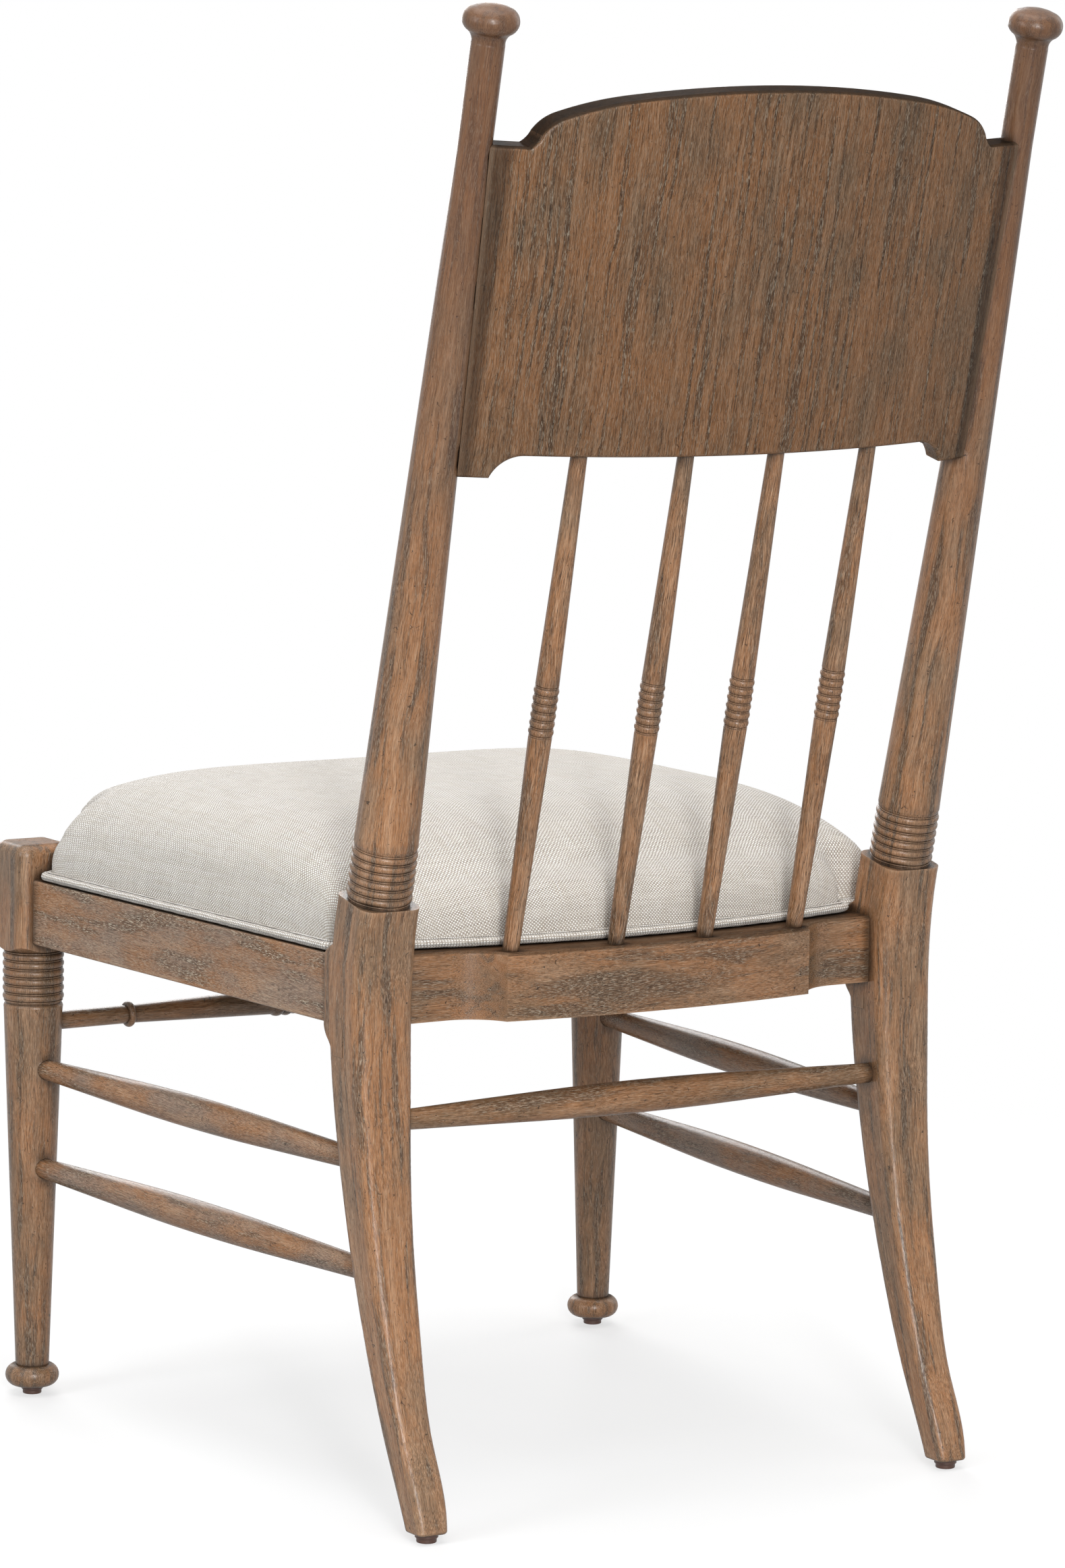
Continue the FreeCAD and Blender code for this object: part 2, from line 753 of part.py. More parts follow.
def front_leg_radius(height):
    """Radius of the front leg's tapered shaft at one height."""
    shaft_head = rail_bottom - block_tail - band_length(bead_count, bead_pitch) - leg_bead_depth
    neck = front_leg_neck_diameter / 2
    top = front_leg_top_diameter / 2
    return neck + (top - neck) * (height - front_leg_neck_height) / (shaft_head - front_leg_neck_height)


def rear_stretcher_ends():
    """Both ends of the rear stretcher, inside the sockets of the posts."""
    reach = half_rear - post_width(rear_stretcher_height) / 2 + stretcher_socket_depth
    y = post_centre(rear_stretcher_height)
    return Vec(reach, y, rear_stretcher_height), Vec(-reach, y, rear_stretcher_height)


def front_stretcher_ends():
    """Both ends of the front stretcher, inside the sockets of the front legs."""
    reach = half_front - front_leg_radius(front_stretcher_height) + stretcher_socket_depth
    return Vec(reach, 0, front_stretcher_height), Vec(-reach, 0, front_stretcher_height)


def front_stretcher():
    """Front stretcher with a ring near each end and a band of beads between broader collars."""
    reach = front_stretcher_ends()[0].x
    thin = front_stretcher_end_diameter / 2
    swell = front_stretcher_swell_diameter / 2
    ring_middle = half_front - front_ring_offset
    band_half = front_bead_count * front_bead_pitch / 2
    inner_half = band_half + front_inner_collar_width
    outer_half = inner_half + front_outer_collar_width
    ring_half = front_ring_width / 2
    ring = front_ring_diameter / 2
    bead = front_bead_diameter / 2
    collar = front_collar_diameter / 2
    steps = [(thin, -reach), (thin, -ring_middle - ring_half),
             (ring, -ring_middle, thin, -ring_middle + ring_half),
             (swell, -outer_half),
             (collar, -inner_half - front_outer_collar_width / 2, swell, -inner_half),
             (collar, -band_half - front_inner_collar_width / 2, swell, -band_half)]
    for bead_number in range(front_bead_count):
        foot = bead_number * front_bead_pitch - band_half
        steps.append((bead, foot + front_bead_pitch / 2, swell, foot + front_bead_pitch))
    steps += [(collar, band_half + front_inner_collar_width / 2, swell, inner_half),
              (collar, inner_half + front_outer_collar_width / 2, swell, outer_half),
              (thin, ring_middle - ring_half),
              (ring, ring_middle, thin, ring_middle + ring_half),
              (thin, reach)]
    return laid(lathe(steps), Vec(0, 0, front_stretcher_height), Vec(reach, 0, front_stretcher_height))


def socket(start, end, diameter):
    """Blind hole for the end of a stretcher: start is the stretcher's end and end lies along it."""
    along = (end - start).normalize()
    return rod(start - along * socket_end_gap, start + along * (stretcher_socket_depth + diameter),
               diameter + 2 * fit_clearance)


# Dowels

def dowel(middle, along, growth, depth_growth):
    """Dowel centred on a joint face, or with growth the holes for it."""
    reach = dowel_depth + depth_growth
    radius = dowel_diameter / 2 + growth
    tip = radius - dowel_end_chamfer
    side = reach - dowel_end_chamfer
    return laid(lathe([(tip, -reach), (radius, -side), (radius, side), (tip, reach)]), middle, middle + along)


def dowel_heights():
    """Heights of the two dowels in a rail's end."""
    return rail_middle - dowel_spread / 2, rail_middle + dowel_spread / 2


def dowels_at(x, y, along, growth, depth_growth):
    """Both dowels of one rail end."""
    return [dowel(Vec(x, y, z), along, growth, depth_growth) for z in dowel_heights()]


def side_rail_dowels(growth=0, depth_growth=0):
    """Dowels at both ends of the left side rail."""
    front = side_face(half_block) - rail_thickness / 2
    rear = side_face(ear_front) - rail_thickness / 2
    return (dowels_at(front, half_block, Vec(0, 1, 0), growth, depth_growth)
            + dowels_at(rear, ear_front, Vec(0, 1, 0), growth, depth_growth))


def front_rail_dowels(growth=0, depth_growth=0):
    """Dowels at the left end of the front rail."""
    y = (front_rail_face + front_rail_back) / 2
    return dowels_at(half_front - half_block, y, Vec(1, 0, 0), growth, depth_growth)


def rear_rail_dowels(growth=0, depth_growth=0):
    """Dowels at the left end of the rear rail."""
    y = (rear_rail_front + rear_rail_end) / 2
    return dowels_at(post_inner_face, y, Vec(1, 0, 0), growth, depth_growth)


# Corner braces

def brace_corner(rear):
    """Corner where the inner faces of two rails would meet, and the way along Y into the frame."""
    if rear:
        return Vec(side_face(rear_rail_front) - rail_thickness, rear_rail_front, 0), -1
    return Vec(side_face(front_rail_back) - rail_thickness, front_rail_back, 0), 1


def brace(rear):
    """Diagonal brace screwed across one corner of the seat frame, on the left."""
    corner, way = brace_corner(rear)
    plan = []
    for reach in (brace_outer_reach, brace_inner_reach):
        plan.append(((corner.x - reach, corner.y), (side_face(corner.y + way * reach) - rail_thickness,
                                                    corner.y + way * reach)))
    points = [plan[0][0], plan[0][1], plan[1][1], plan[1][0]]
    body = prism(points, seat_rail_top - brace_height, seat_rail_top)
    return cut_all(body, brace_screws(rear, True) + [seat_screw(rear, True)])


def screw(diameter, head_diameter, head_height, length):
    """Round-headed wood screw along Z, with its head below zero."""
    head = head_diameter / 2
    return lathe([
        (head * screw_head_top_share, -head_height),
        (head * screw_head_side_share, -head_height * screw_head_rise_share, head, 0),
        (diameter / 2, 0),
        (diameter / 2, length - diameter),
        (0, length),
    ])


def screw_hole(diameter, head_diameter, length):
    """Hole and counterbore for a screw."""
    head = head_diameter / 2 + fit_clearance
    shank = diameter / 2 + fit_clearance
    return lathe([(head, -overrun), (head, 0), (shank, 0), (shank, length + socket_end_gap)])


def brace_screws(rear, hole):
    """The two screws that hold one brace to its rails, or their holes."""
    corner, way = brace_corner(rear)
    reach = (brace_outer_reach + brace_inner_reach) / 2
    depth = brace_inner_reach - reach - brace_screw_cover
    z = seat_rail_top - brace_height + brace_screw_drop
    length = depth + brace_screw_bite
    shape = screw(brace_screw_diameter, brace_screw_head_diameter, brace_screw_head_height, length)
    if hole:
        shape = screw_hole(brace_screw_diameter, brace_screw_head_diameter, length)
    cross_head = Vec(corner.x - reach, corner.y + way * depth, z)
    side_y = corner.y + way * reach
    side_head = Vec(side_face(side_y) - rail_thickness - depth, side_y, z)
    across = laid(shape, cross_head, cross_head - Vec(0, way, 0))
    aside = laid(shape, side_head, side_head + Vec(1, 0, 0))
    return [across, aside]


def seat_screw(rear, hole):
    """Screw up through one brace into the seat board, or its hole."""
    corner, way = brace_corner(rear)
    middle = (brace_outer_reach + brace_inner_reach) / 4
    foot = Vec(corner.x - middle, corner.y + way * middle, seat_rail_top - brace_height)
    length = brace_height + seat_bed - seat_rail_top + seat_screw_bite
    shape = screw(seat_screw_diameter, seat_screw_head_diameter, seat_screw_head_height, length)
    if hole:
        shape = screw_hole(seat_screw_diameter, seat_screw_head_diameter, length)
    return laid(shape, foot, foot + Vec(0, 0, 1))


# Glides

def glide_hole(foot):
    """Hole up a leg for the pin of its glide."""
    low = foot + Vec(0, 0, glide_height - socket_end_gap)
    high = foot + Vec(0, 0, glide_height + glide_pin_length + socket_end_gap)
    return rod(low, high, glide_pin_diameter + 2 * fit_clearance)


def glide(foot):
    """Stepped plastic glide with its pin up the leg."""
    pin = glide_pin_diameter / 2
    wide = glide_diameter / 2
    tread = glide_tread_diameter / 2
    ease = glide_edge_radius * (1 - math.sqrt(2) / 2)
    body = lathe([
        (tread - glide_edge_radius, 0),
        (tread - ease, ease, tread, glide_edge_radius),
        (tread, glide_height - glide_step_height),
        (wide - glide_edge_radius, glide_height - glide_step_height),
        (wide, glide_height - glide_step_height + glide_edge_radius),
        (wide, glide_height),
        (pin, glide_height),
        (pin, glide_height + glide_pin_length - pin),
        (0, glide_height + glide_pin_length),
    ])
    body.translate(foot)
    return body


# Upholstered seat

def seat_plan(inset, low, high):
    """Upright prism over the seat's plan, drawn in from the cover's edge by an inset."""
    gap = edge_inset + inset
    front = front_rail_face + gap
    notch_x = half_front - half_block - gap
    notch_y = half_block + gap
    ear_y = ear_front - gap
    inner_x = post_inner_face - gap
    rear_end = rear_rail_end - seat_back_end_margin - gap
    rear_middle = rear_rail_back - seat_back_margin - gap
    corners = [(notch_x, front), (notch_x, notch_y), (side_face(notch_y) - gap, notch_y),
               (side_face(ear_y) - gap, ear_y), (inner_x, ear_y), (inner_x, rear_end)]
    points = [Vec(x, y, low) for x, y in corners]
    other = [Vec(-x, y, low) for x, y in reversed(corners)]
    edges = [Part.Arc(points[-1], Vec(0, rear_middle, low), other[0]).toShape()]
    ring = other + points
    edges += [Part.makeLine(a, b) for a, b in zip(ring, ring[1:])]
    body = Part.Face(Part.Wire(edges)).extrude(Vec(0, 0, high - low))
    notches = [corners[1], corners[4]]
    proud = [corners[0], corners[2], corners[3], corners[5]]
    body = body.makeFillet(max(seat_corner_radius - inset, soft_clearance), upright_edges_at(body, proud))
    return body.makeFillet(seat_notch_radius + max(inset, 0), upright_edges_at(body, notches))


def crown_section(y, height_share, inset, low):
    """Cross section of the cushion at one place along its depth: flat below, soft shoulders, a low dome."""
    half = side_face(y) - edge_inset - inset + soft_clearance
    rise = seat_bed - cover_thickness + seat_crown * height_share - inset
    wall = low + min(seat_wall, (rise - low) / 2)
    base = low - soft_clearance
    shoulder_x = half - seat_shoulder_width
    shoulder_z = wall + (rise - wall) * shoulder_place_share
    middle_x = half - seat_shoulder_width * shoulder_middle_share
    middle_z = wall + (shoulder_z - wall) * shoulder_lift_share
    outline = [(half, base), (half, wall), (middle_x, middle_z), (shoulder_x, shoulder_z)]
    right = [Vec(x, y, z) for x, z in outline]
    left = [Vec(-p.x, p.y, p.z) for p in right]
    return Part.Wire([
        Part.makeLine(left[0], right[0]),
        Part.makeLine(right[0], right[1]),
        Part.Arc(right[1], right[2], right[3]).toShape(),
        Part.Arc(right[3], Vec(0, y, rise), left[3]).toShape(),
        Part.Arc(left[3], left[2], left[1]).toShape(),
        Part.makeLine(left[1], left[0]),
    ])


def cushion_form(inset, low):
    """Crowned form of the padded seat, drawn in all round by an inset, from a level upwards.

    Seen from the side the crown follows a superellipse, steep at the ends and nearly flat between.
    Its sections run a little past the plan, which then trims them.
    """
    gap = edge_inset + inset - soft_clearance
    front = front_rail_face + gap
    rear = rear_rail_back - seat_back_margin - gap
    sections = []
    for step in range(2 * crown_half_steps + 1):
        turn = math.radians(90 * abs(step / crown_half_steps - 1))
        reach = math.sin(turn) ** (2 / crown_fullness)
        height = math.cos(turn) ** (2 / crown_fullness)
        place = (1 + math.copysign(reach, step - crown_half_steps)) / 2
        share = crown_end_share + (1 - crown_end_share) * height
        sections.append(crown_section(front + (rear - front) * place, share, inset, low))
    crown = Part.makeLoft(sections, True, False)
    if crown.Volume < 0:
        crown.reverse()
    return crown.common(seat_plan(inset, low, low + 2 * seat_crown))


def seat_board():
    """Plywood board that carries the foam."""
    return seat_plan(cover_thickness + soft_clearance, seat_bed, seat_bed + seat_board_thickness)


def seat_foam():
    """Foam on the board, under the cover."""
    form = cushion_form(cover_thickness + soft_clearance, seat_bed)
    return form.cut(box((-front_leg_spacing, front_leg_spacing), (-overrun, knee_setback + overrun),
                        (seat_bed - overrun, seat_bed + seat_board_thickness)))


def seat_cover():
    """Fabric cover over the foam, turned under the board as a hem."""
    outer = cushion_form(0, seat_bed - cover_thickness)
    hollow = cushion_form(cover_thickness, seat_bed)
    opening = seat_plan(hem_width, seat_bed - overrun, seat_bed + seat_board_thickness)
    return outer.cut(hollow).cut(opening)


def dust_cover():
    """Thin cloth that closes the underside of the seat and lies on the rails."""
    return seat_plan(dust_cover_inset, seat_rail_top, seat_rail_top + dust_cover_thickness)


def seat_welt():
    """Piping that runs round the lower edge of the cover."""
    level = seat_bed - cover_thickness + soft_clearance + welt_diameter / 2
    plan = seat_plan(-soft_clearance - welt_diameter / 2, level, level + welt_diameter)
    base = [f for f in plan.Faces if f.BoundBox.ZMax < level + pick_tolerance][0]
    pieces = []
    for edge in base.OuterWire.OrderedEdges:
        start = edge.valueAt(edge.FirstParameter)
        tangent = edge.tangentAt(edge.FirstParameter)
        ring = Part.Wire(Part.makeCircle(welt_diameter / 2, start, tangent))
        pieces.append(Part.Wire(edge).makePipeShell([ring], True, False))
    return pieces[0].fuse(pieces[1:]).removeSplitter()


# All pieces

offsets = (spindle_inner_offset, spindle_outer_offset)
front_end, rear_end_upper = side_stretcher_ends(side_stretcher_upper_height)
front_end_lower, rear_end_lower = side_stretcher_ends(side_stretcher_lower_height)
rear_left, rear_right = rear_stretcher_ends()
front_left, front_right = front_stretcher_ends()

leg = cut_all(front_leg(), side_rail_dowels(fit_clearance, socket_end_gap)
              + front_rail_dowels(fit_clearance, socket_end_gap) + [
    socket(front_end, rear_end_upper, stretcher_end_diameter),
    socket(front_end_lower, rear_end_lower, stretcher_end_diameter),
    socket(front_left, front_right, front_stretcher_end_diameter),
    glide_hole(Vec(half_front, 0, 0)),
])

post_foot = Vec(half_rear, post_centre(glide_height), 0)
mortise = leaned(crest_tongue(fit_clearance))
post = cut_all(rear_post(), side_rail_dowels(fit_clearance, socket_end_gap)
               + rear_rail_dowels(fit_clearance, socket_end_gap) + [
    socket(rear_end_upper, front_end, stretcher_end_diameter),
    socket(rear_end_lower, front_end_lower, stretcher_end_diameter),
    socket(rear_left, rear_right, rear_stretcher_end_diameter),
    mortise,
    glide_hole(post_foot),
])

spindle_holes = []
for offset in offsets:
    spindle_holes += both([spindle_tenons(offset, fit_clearance, socket_end_gap)])

screw_holes = []
for rear in (False, True):
    screw_holes += both(brace_screws(rear, True))

nodes = {
    "front_leg_left": leg,
    "front_leg_right": mirrored(leg),
    "rear_post_left": post,
    "rear_post_right": mirrored(post),
    "front_rail": cut_all(front_rail(), both(front_rail_dowels(fit_clearance, socket_end_gap)) + screw_holes),
    "rear_rail": cut_all(rear_rail(), both(rear_rail_dowels(fit_clearance, socket_end_gap)) + screw_holes
                         + spindle_holes),
    "crest_panel": cut_all(leaned(crest_panel()), spindle_holes),
}

rail = cut_all(side_rail(), side_rail_dowels(fit_clearance, socket_end_gap) + screw_holes)
upper = swelled_stretcher(front_end, rear_end_upper, stretcher_end_diameter)
lower = swelled_stretcher(front_end_lower, rear_end_lower, stretcher_end_diameter)
pairs = {"side_rail": rail, "side_stretcher_upper": upper, "side_stretcher_lower": lower}
for name, shape in pairs.items():
    nodes[name + "_left"] = shape
    nodes[name + "_right"] = mirrored(shape)

nodes["front_stretcher"] = front_stretcher()
nodes["rear_stretcher"] = swelled_stretcher(rear_left, rear_right, rear_stretcher_end_diameter)

for place, offset in zip(("inner", "outer"), offsets):
    piece = spindle(offset)
    nodes["spindle_" + place + "_left"] = piece
    nodes["spindle_" + place + "_right"] = mirrored(piece)

for place, rear in (("front", False), ("rear", True)):
    piece = brace(rear)
    nodes["corner_brace_" + place + "_left"] = piece
    nodes["corner_brace_" + place + "_right"] = mirrored(piece)

for place, foot in (("front", Vec(half_front, 0, 0)), ("rear", post_foot)):
    piece = glide(foot)
    nodes["glide_" + place + "_left"] = piece
    nodes["glide_" + place + "_right"] = mirrored(piece)

nodes["side_rail_dowels"] = Part.makeCompound(both(side_rail_dowels()))
nodes["front_rail_dowels"] = Part.makeCompound(both(front_rail_dowels()))
nodes["rear_rail_dowels"] = Part.makeCompound(both(rear_rail_dowels()))
nodes["brace_screws"] = Part.makeCompound(both(brace_screws(False, False) + brace_screws(True, False)))
nodes["seat_screws"] = Part.makeCompound(both([seat_screw(False, False), seat_screw(True, False)]))

seat_holes = both([seat_screw(False, True), seat_screw(True, True)])
nodes["seat_board"] = cut_all(seat_board(), seat_holes)
nodes["dust_cover"] = cut_all(dust_cover(), seat_holes)
nodes["seat_foam"] = seat_foam()
nodes["seat_cover"] = cut_all(seat_cover(), seat_holes)
nodes["seat_welt"] = seat_welt()

# The box of the whole chair is centred over the origin
bound = Part.makeCompound(list(nodes.values())).optimalBoundingBox(False)
middle_depth = (bound.YMin + bound.YMax) / 2
print("box %.1f %.1f %.1f, centred by %.2f" % (bound.XLength, bound.YLength, bound.ZLength, middle_depth))

os.makedirs("parts", exist_ok=True)
for name, shape in nodes.items():
    placed = shape.copy()
    placed.translate(Vec(0, -middle_depth, 0))
    print("%-28s solids %d volume %10.0f" % (name, len(placed.Solids), placed.Volume))
    placed.exportStep("parts/" + name + ".step")
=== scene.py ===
"""Looks of the tall-backed side chair: stained and limed wood, a woven seat with piping, and a plain studio.

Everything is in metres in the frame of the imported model: +Z up, the sitter faces -Y, and the floor is Z = 0. Places
in materials are in millimetres.
"""
import math

import bpy
import numpy as np
from mathutils import Matrix, Vector


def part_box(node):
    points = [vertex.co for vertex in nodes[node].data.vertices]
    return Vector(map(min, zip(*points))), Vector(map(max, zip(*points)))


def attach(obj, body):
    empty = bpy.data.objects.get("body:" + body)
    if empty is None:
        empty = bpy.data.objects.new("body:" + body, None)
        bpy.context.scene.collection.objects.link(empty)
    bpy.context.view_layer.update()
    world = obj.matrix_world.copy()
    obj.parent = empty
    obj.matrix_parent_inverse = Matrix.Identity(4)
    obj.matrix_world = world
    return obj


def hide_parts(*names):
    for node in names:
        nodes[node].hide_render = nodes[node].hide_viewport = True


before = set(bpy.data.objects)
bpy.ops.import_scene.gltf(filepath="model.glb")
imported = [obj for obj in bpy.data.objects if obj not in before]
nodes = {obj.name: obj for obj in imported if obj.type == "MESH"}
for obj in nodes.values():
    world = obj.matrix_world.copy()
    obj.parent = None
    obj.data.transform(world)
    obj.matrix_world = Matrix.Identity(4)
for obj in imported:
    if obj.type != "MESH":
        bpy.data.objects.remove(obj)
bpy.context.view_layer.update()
scene = bpy.context.scene

# Rear posts: lean above the knee, and sweep of the legs below the bend
BACK_LEAN = math.radians(12.73)
KNEE_HEIGHT = 0.4093
BEND_HEIGHT = 0.385
SWEEP_RADIUS = 0.870
BACK_AXIS = Vector((0, math.sin(BACK_LEAN), math.cos(BACK_LEAN)))

# Plan of the padded seat
SIDE_THICKNESS = 0.024
SEAT_GAP = 0.0075
SEAT_BACK_MARGIN = 0.0265
SEAT_END_SHELF = 0.0275 - 0.0195
PROUD_RADIUS = 0.010
NOTCH_RADIUS = 0.0035
BOW_RADIUS = 0.02
BRIDGE_RADIUS = 0.03
CUSHION_INSET = 0.0002

# Cloth wrapped round the seat board
WRAP_TOP = 0.450
WRAP_FADE = 0.024
WRAP_REACH = 0.013
WRAP_REACH_FADE = 0.007
WRAP_FLOOR = 0.005
WRAP_FLOOR_FADE = 0.004

# Form of the cushion's top
CROWN_BASE = 0.4185
CROWN_SHOULDER = 0.047
CROWN_SHOULDER_WIDTH = 0.073
CROWN_SHOULDER_POWER = 4.6
CROWN_DOME = 0.0362
CROWN_DOME_POWERS = (7.0, 4.4)
CROWN_DOME_HALF = (0.266, 0.240)
CROWN_DOME_MIDDLE = -0.117
CROWN_DRAWN_IN = 0.004
NOTCH_WALL = 0.016
NOTCH_WALL_FADE = 0.006
RING_INSETS = (0, 0.003, 0.008, 0.016, 0.028, 0.045, 0.07, 0.10, 0.14, 0.19, 0.25, 0.33, 0.42, 0.52, 0.63, 0.75, 0.87)

# Swelling of the cushion as cloth
MESH_STEP = 0.005
HELD_HEIGHT = 0.007
SWELL_PRESSURE = 4
SWELL_FRAMES = 20
SWELL_CAP = 0.006
RELAX_ROUNDS = 350
SMOOTH_ROUNDS = 6

# Lie of the woven cloth on the cushion
FIELD_STEP = 0.004
FIELD_HALF_WIDTH = 0.30
FIELD_MARGIN = 0.03
FIELD_ROUNDS = 30

# Piping and seam
PIPING_RADIUS = 0.0031
PIPING_OUTSET = 0.0034
SEAM_RADIUS = 0.0007
SEAM_OUTSET = 0.0012
SEAM_RISE = 0.0004
SEAM_FLATTEN = 1.6
TUBE_STEP = 0.002
BIAS = math.radians(45)
TUBE_UNEVEN = ((0.03, 0.37, 0.0), (0.02, 0.83, 0.5))

# Cloth under the seat
UNDER_INSET = 0.014
UNDER_STEP = 0.008
UNDER_SAG = 0.0035
UNDER_PUCKER = 0.0004
UNDER_THICKNESS = 0.0006


# Shader building

class Shader:
    """Node tree of a material or a world, with short calls for the nodes that the looks use."""

    def __init__(self, owner, output="ShaderNodeOutputMaterial"):
        self.owner = owner
        owner.use_nodes = True
        self.tree = owner.node_tree
        self.tree.nodes.clear()
        self.output = self.add(output)

    def add(self, kind, **settings):
        node = self.tree.nodes.new(kind)
        for key, value in settings.items():
            setattr(node, key, value)
        return node

    def put(self, socket, value):
        """Links a socket to another socket, or sets it to a constant."""
        if isinstance(value, bpy.types.NodeSocket):
            self.tree.links.new(value, socket)
        else:
            socket.default_value = value

    def math(self, operation, *values, clamp=False):
        node = self.add("ShaderNodeMath", operation=operation, use_clamp=clamp)
        for place, value in enumerate(values):
            self.put(node.inputs[place], value)
        return node.outputs[0]

    def vector(self, operation, *values):
        node = self.add("ShaderNodeVectorMath", operation=operation)
        for place, value in enumerate(values):
            self.put(node.inputs[place], value)
        return node.outputs["Value" if operation in ("DOT_PRODUCT", "LENGTH", "DISTANCE") else 0]

    def split(self, vector):
        """X, Y and Z of a vector."""
        node = self.add("ShaderNodeSeparateXYZ")
        self.put(node.inputs[0], vector)
        return node.outputs[0], node.outputs[1], node.outputs[2]

    def join(self, *values):
        """Vector of X, Y and maybe Z."""
        node = self.add("ShaderNodeCombineXYZ")
        for place, value in enumerate(values):
            self.put(node.inputs[place], value)
        return node.outputs[0]

    def ramp(self, value, low, high):
        """Smooth step of a value from low to high."""
        node = self.add("ShaderNodeMapRange", interpolation_type="SMOOTHSTEP")
        self.put(node.inputs["Value"], value)
        node.inputs["From Min"].default_value = low
        node.inputs["From Max"].default_value = high
        return node.outputs["Result"]

    def mix(self, share, first, second):
        node = self.add("ShaderNodeMix", data_type="RGBA")
        self.put(node.inputs["Factor"], share)
        self.put(node.inputs["A"], first)
        self.put(node.inputs["B"], second)
        return node.outputs["Result"]

    def cover(self, colour, share, amount, coating):
        """Colour under a coating that is as strong as a share times an amount."""
        return self.mix(self.math("MULTIPLY", share, amount), colour, coating)

    def noise(self, place, scale, seed=0.0, detail=2.0, roughness=0.5, distortion=0.0):
        """Noise over a place in millimetres, with one scale per axis."""
        moved = self.vector("ADD", place, (seed, seed * 1.7, seed * 2.3))
        node = self.add("ShaderNodeTexNoise", noise_dimensions="3D")
        self.put(node.inputs["Vector"], self.vector("MULTIPLY", moved, scale))
        node.inputs["Scale"].default_value = 1.0
        node.inputs["Detail"].default_value = detail
        node.inputs["Roughness"].default_value = roughness
        node.inputs["Distortion"].default_value = distortion
        return node.outputs["Fac"]

    def grain(self, place, across, along, seed, **settings):
        """Noise with one scale across the grain and one along it."""
        return self.noise(place, (across, across, along), seed, **settings)

    def cells(self, place, scale, randomness):
        """How far a place is from the middle of the nearest of many scattered cells."""
        node = self.add("ShaderNodeTexVoronoi", feature="F1")
        self.put(node.inputs["Vector"], self.vector("MULTIPLY", place, scale))
        node.inputs["Scale"].default_value = 1.0
        node.inputs["Randomness"].default_value = randomness
        return node.outputs["Distance"]

    def openness(self, reach, **settings):
        """How open the space round a place is, within a reach in metres."""
        node = self.add("ShaderNodeAmbientOcclusion", samples=4, **settings)
        node.inputs["Distance"].default_value = reach
        return node.outputs["AO"]

    def object_place(self):
        """Place on the object in millimetres."""
        return self.vector("MULTIPLY", self.add("ShaderNodeTexCoord").outputs["Object"], (1000.0,) * 3)

    def closure(self, kind, **constants):
        node = self.add(kind)
        for key, value in constants.items():
            node.inputs[key].default_value = value
        return node.outputs[0]

    def blend(self, share, first, second):
        """Mix of two closures."""
        node = self.add("ShaderNodeMixShader")
        for place, value in enumerate((share, first, second)):
            self.put(node.inputs[place], value)
        return node.outputs[0]

    def show(self, closure):
        self.put(self.output.inputs["Surface"], closure)
        return self.owner

    def surface(self, colour, roughness, height, distance, coat=0.0, **constants):
        """Principled surface with a relief of a height times a distance in metres."""
        shader = self.add("ShaderNodeBsdfPrincipled")
        self.put(shader.inputs["Base Color"], colour)
        self.put(shader.inputs["Roughness"], roughness)
        self.put(shader.inputs["Coat Weight"], coat)
        for key, value in constants.items():
            shader.inputs[key.replace("_", " ")].default_value = value
        bump = self.add("ShaderNodeBump")
        bump.inputs["Strength"].default_value = 1.0
        bump.inputs["Distance"].default_value = distance
        self.put(bump.inputs["Height"], height)
        self.put(shader.inputs["Normal"], bump.outputs["Normal"])
        self.put(shader.inputs["Coat Normal"], bump.outputs["Normal"])
        return self.show(shader.outputs["BSDF"])


def material(name):
    return Shader(bpy.data.materials.new(name))


def rgb(red, green, blue):
    """Linear colour from screen values out of 255."""
    def linear(value):
        share = value / 255
        return share / 12.92 if share <= 0.04045 else ((share + 0.055) / 1.055) ** 2.4
    return (linear(red), linear(green), linear(blue), 1.0)


# Wood

WARM = rgb(159, 111, 73)
GREY = rgb(131, 101, 75)
# Cool grey of the side pieces: partly their stain, partly painted sheen of faces that look to the side
COOL = rgb(142, 119, 103)
PALE = rgb(204, 168, 136)
UMBER = rgb(74, 59, 47)
DARK = rgb(44, 31, 22)
LIME = rgb(204, 190, 168)
SPECK = rgb(16, 12, 9)
# Dark glaze, also laid on as painted shade: in hollows and joins, on faces that look up, and where the crest meets
# the posts
GLAZE_AND_SHADE = rgb(34, 26, 20)
DEEP = rgb(82, 52, 34)

# Span of noise, openness or distance over which each layer comes in
ZONE_MIDDLE = 0.50
ZONE_HALF_SPAN = 0.16
ZONE_SHIFT = 0.14
PALE_STREAK_SPAN = (0.48, 0.30)
SHADE_SPAN = (0.50, 0.64)
PATCH_SPAN = (1.1, 0.6)
PALE_FIBRE_SPAN = (0.48, 0.33)
DARK_FIBRE_SPAN = (0.48, 0.66)
PORE_SPAN = (0.555, 0.64)
LIME_SPAN = (0.545, 0.62)
DOT_SPAN = (0.12, 0.06)
DOT_AREA_SPAN = (0.44, 0.60)
MARK_SPAN = (0.022, 0.006)
MARK_AREA_SPAN = (0.64, 0.69)
WEAR_AND_HIGHLIGHT_SPAN = (0.86, 0.50)
HOLLOW_SPAN = (0.98, 0.55)

# How much each layer covers what is under it
PALE_STREAK_COVER = 0.28
SHADE_COVER = 0.55
PALE_FIBRE_COVER = 0.45
DARK_FIBRE_COVER = 0.66
FLAW_COVER = 0.85
END_COVER = 0.6
ALOFT_COVER = 0.68
BAND_COVER = 0.20
WEAR_AND_HIGHLIGHT_COVER = 0.30
HOLLOW_COVER = 0.88

# Share of the pores and of the lime that wood without shade has
PORES_IN_LIGHT = 0.7
LIME_IN_LIGHT = 0.4

# Reach of wear and painted highlight on edges and of glaze and painted shade in hollows, in metres, and wander of the
# grain
WEAR_AND_HIGHLIGHT_REACH = 0.004
HOLLOW_REACH = 0.009
WANDER = (9.0, -6.0)

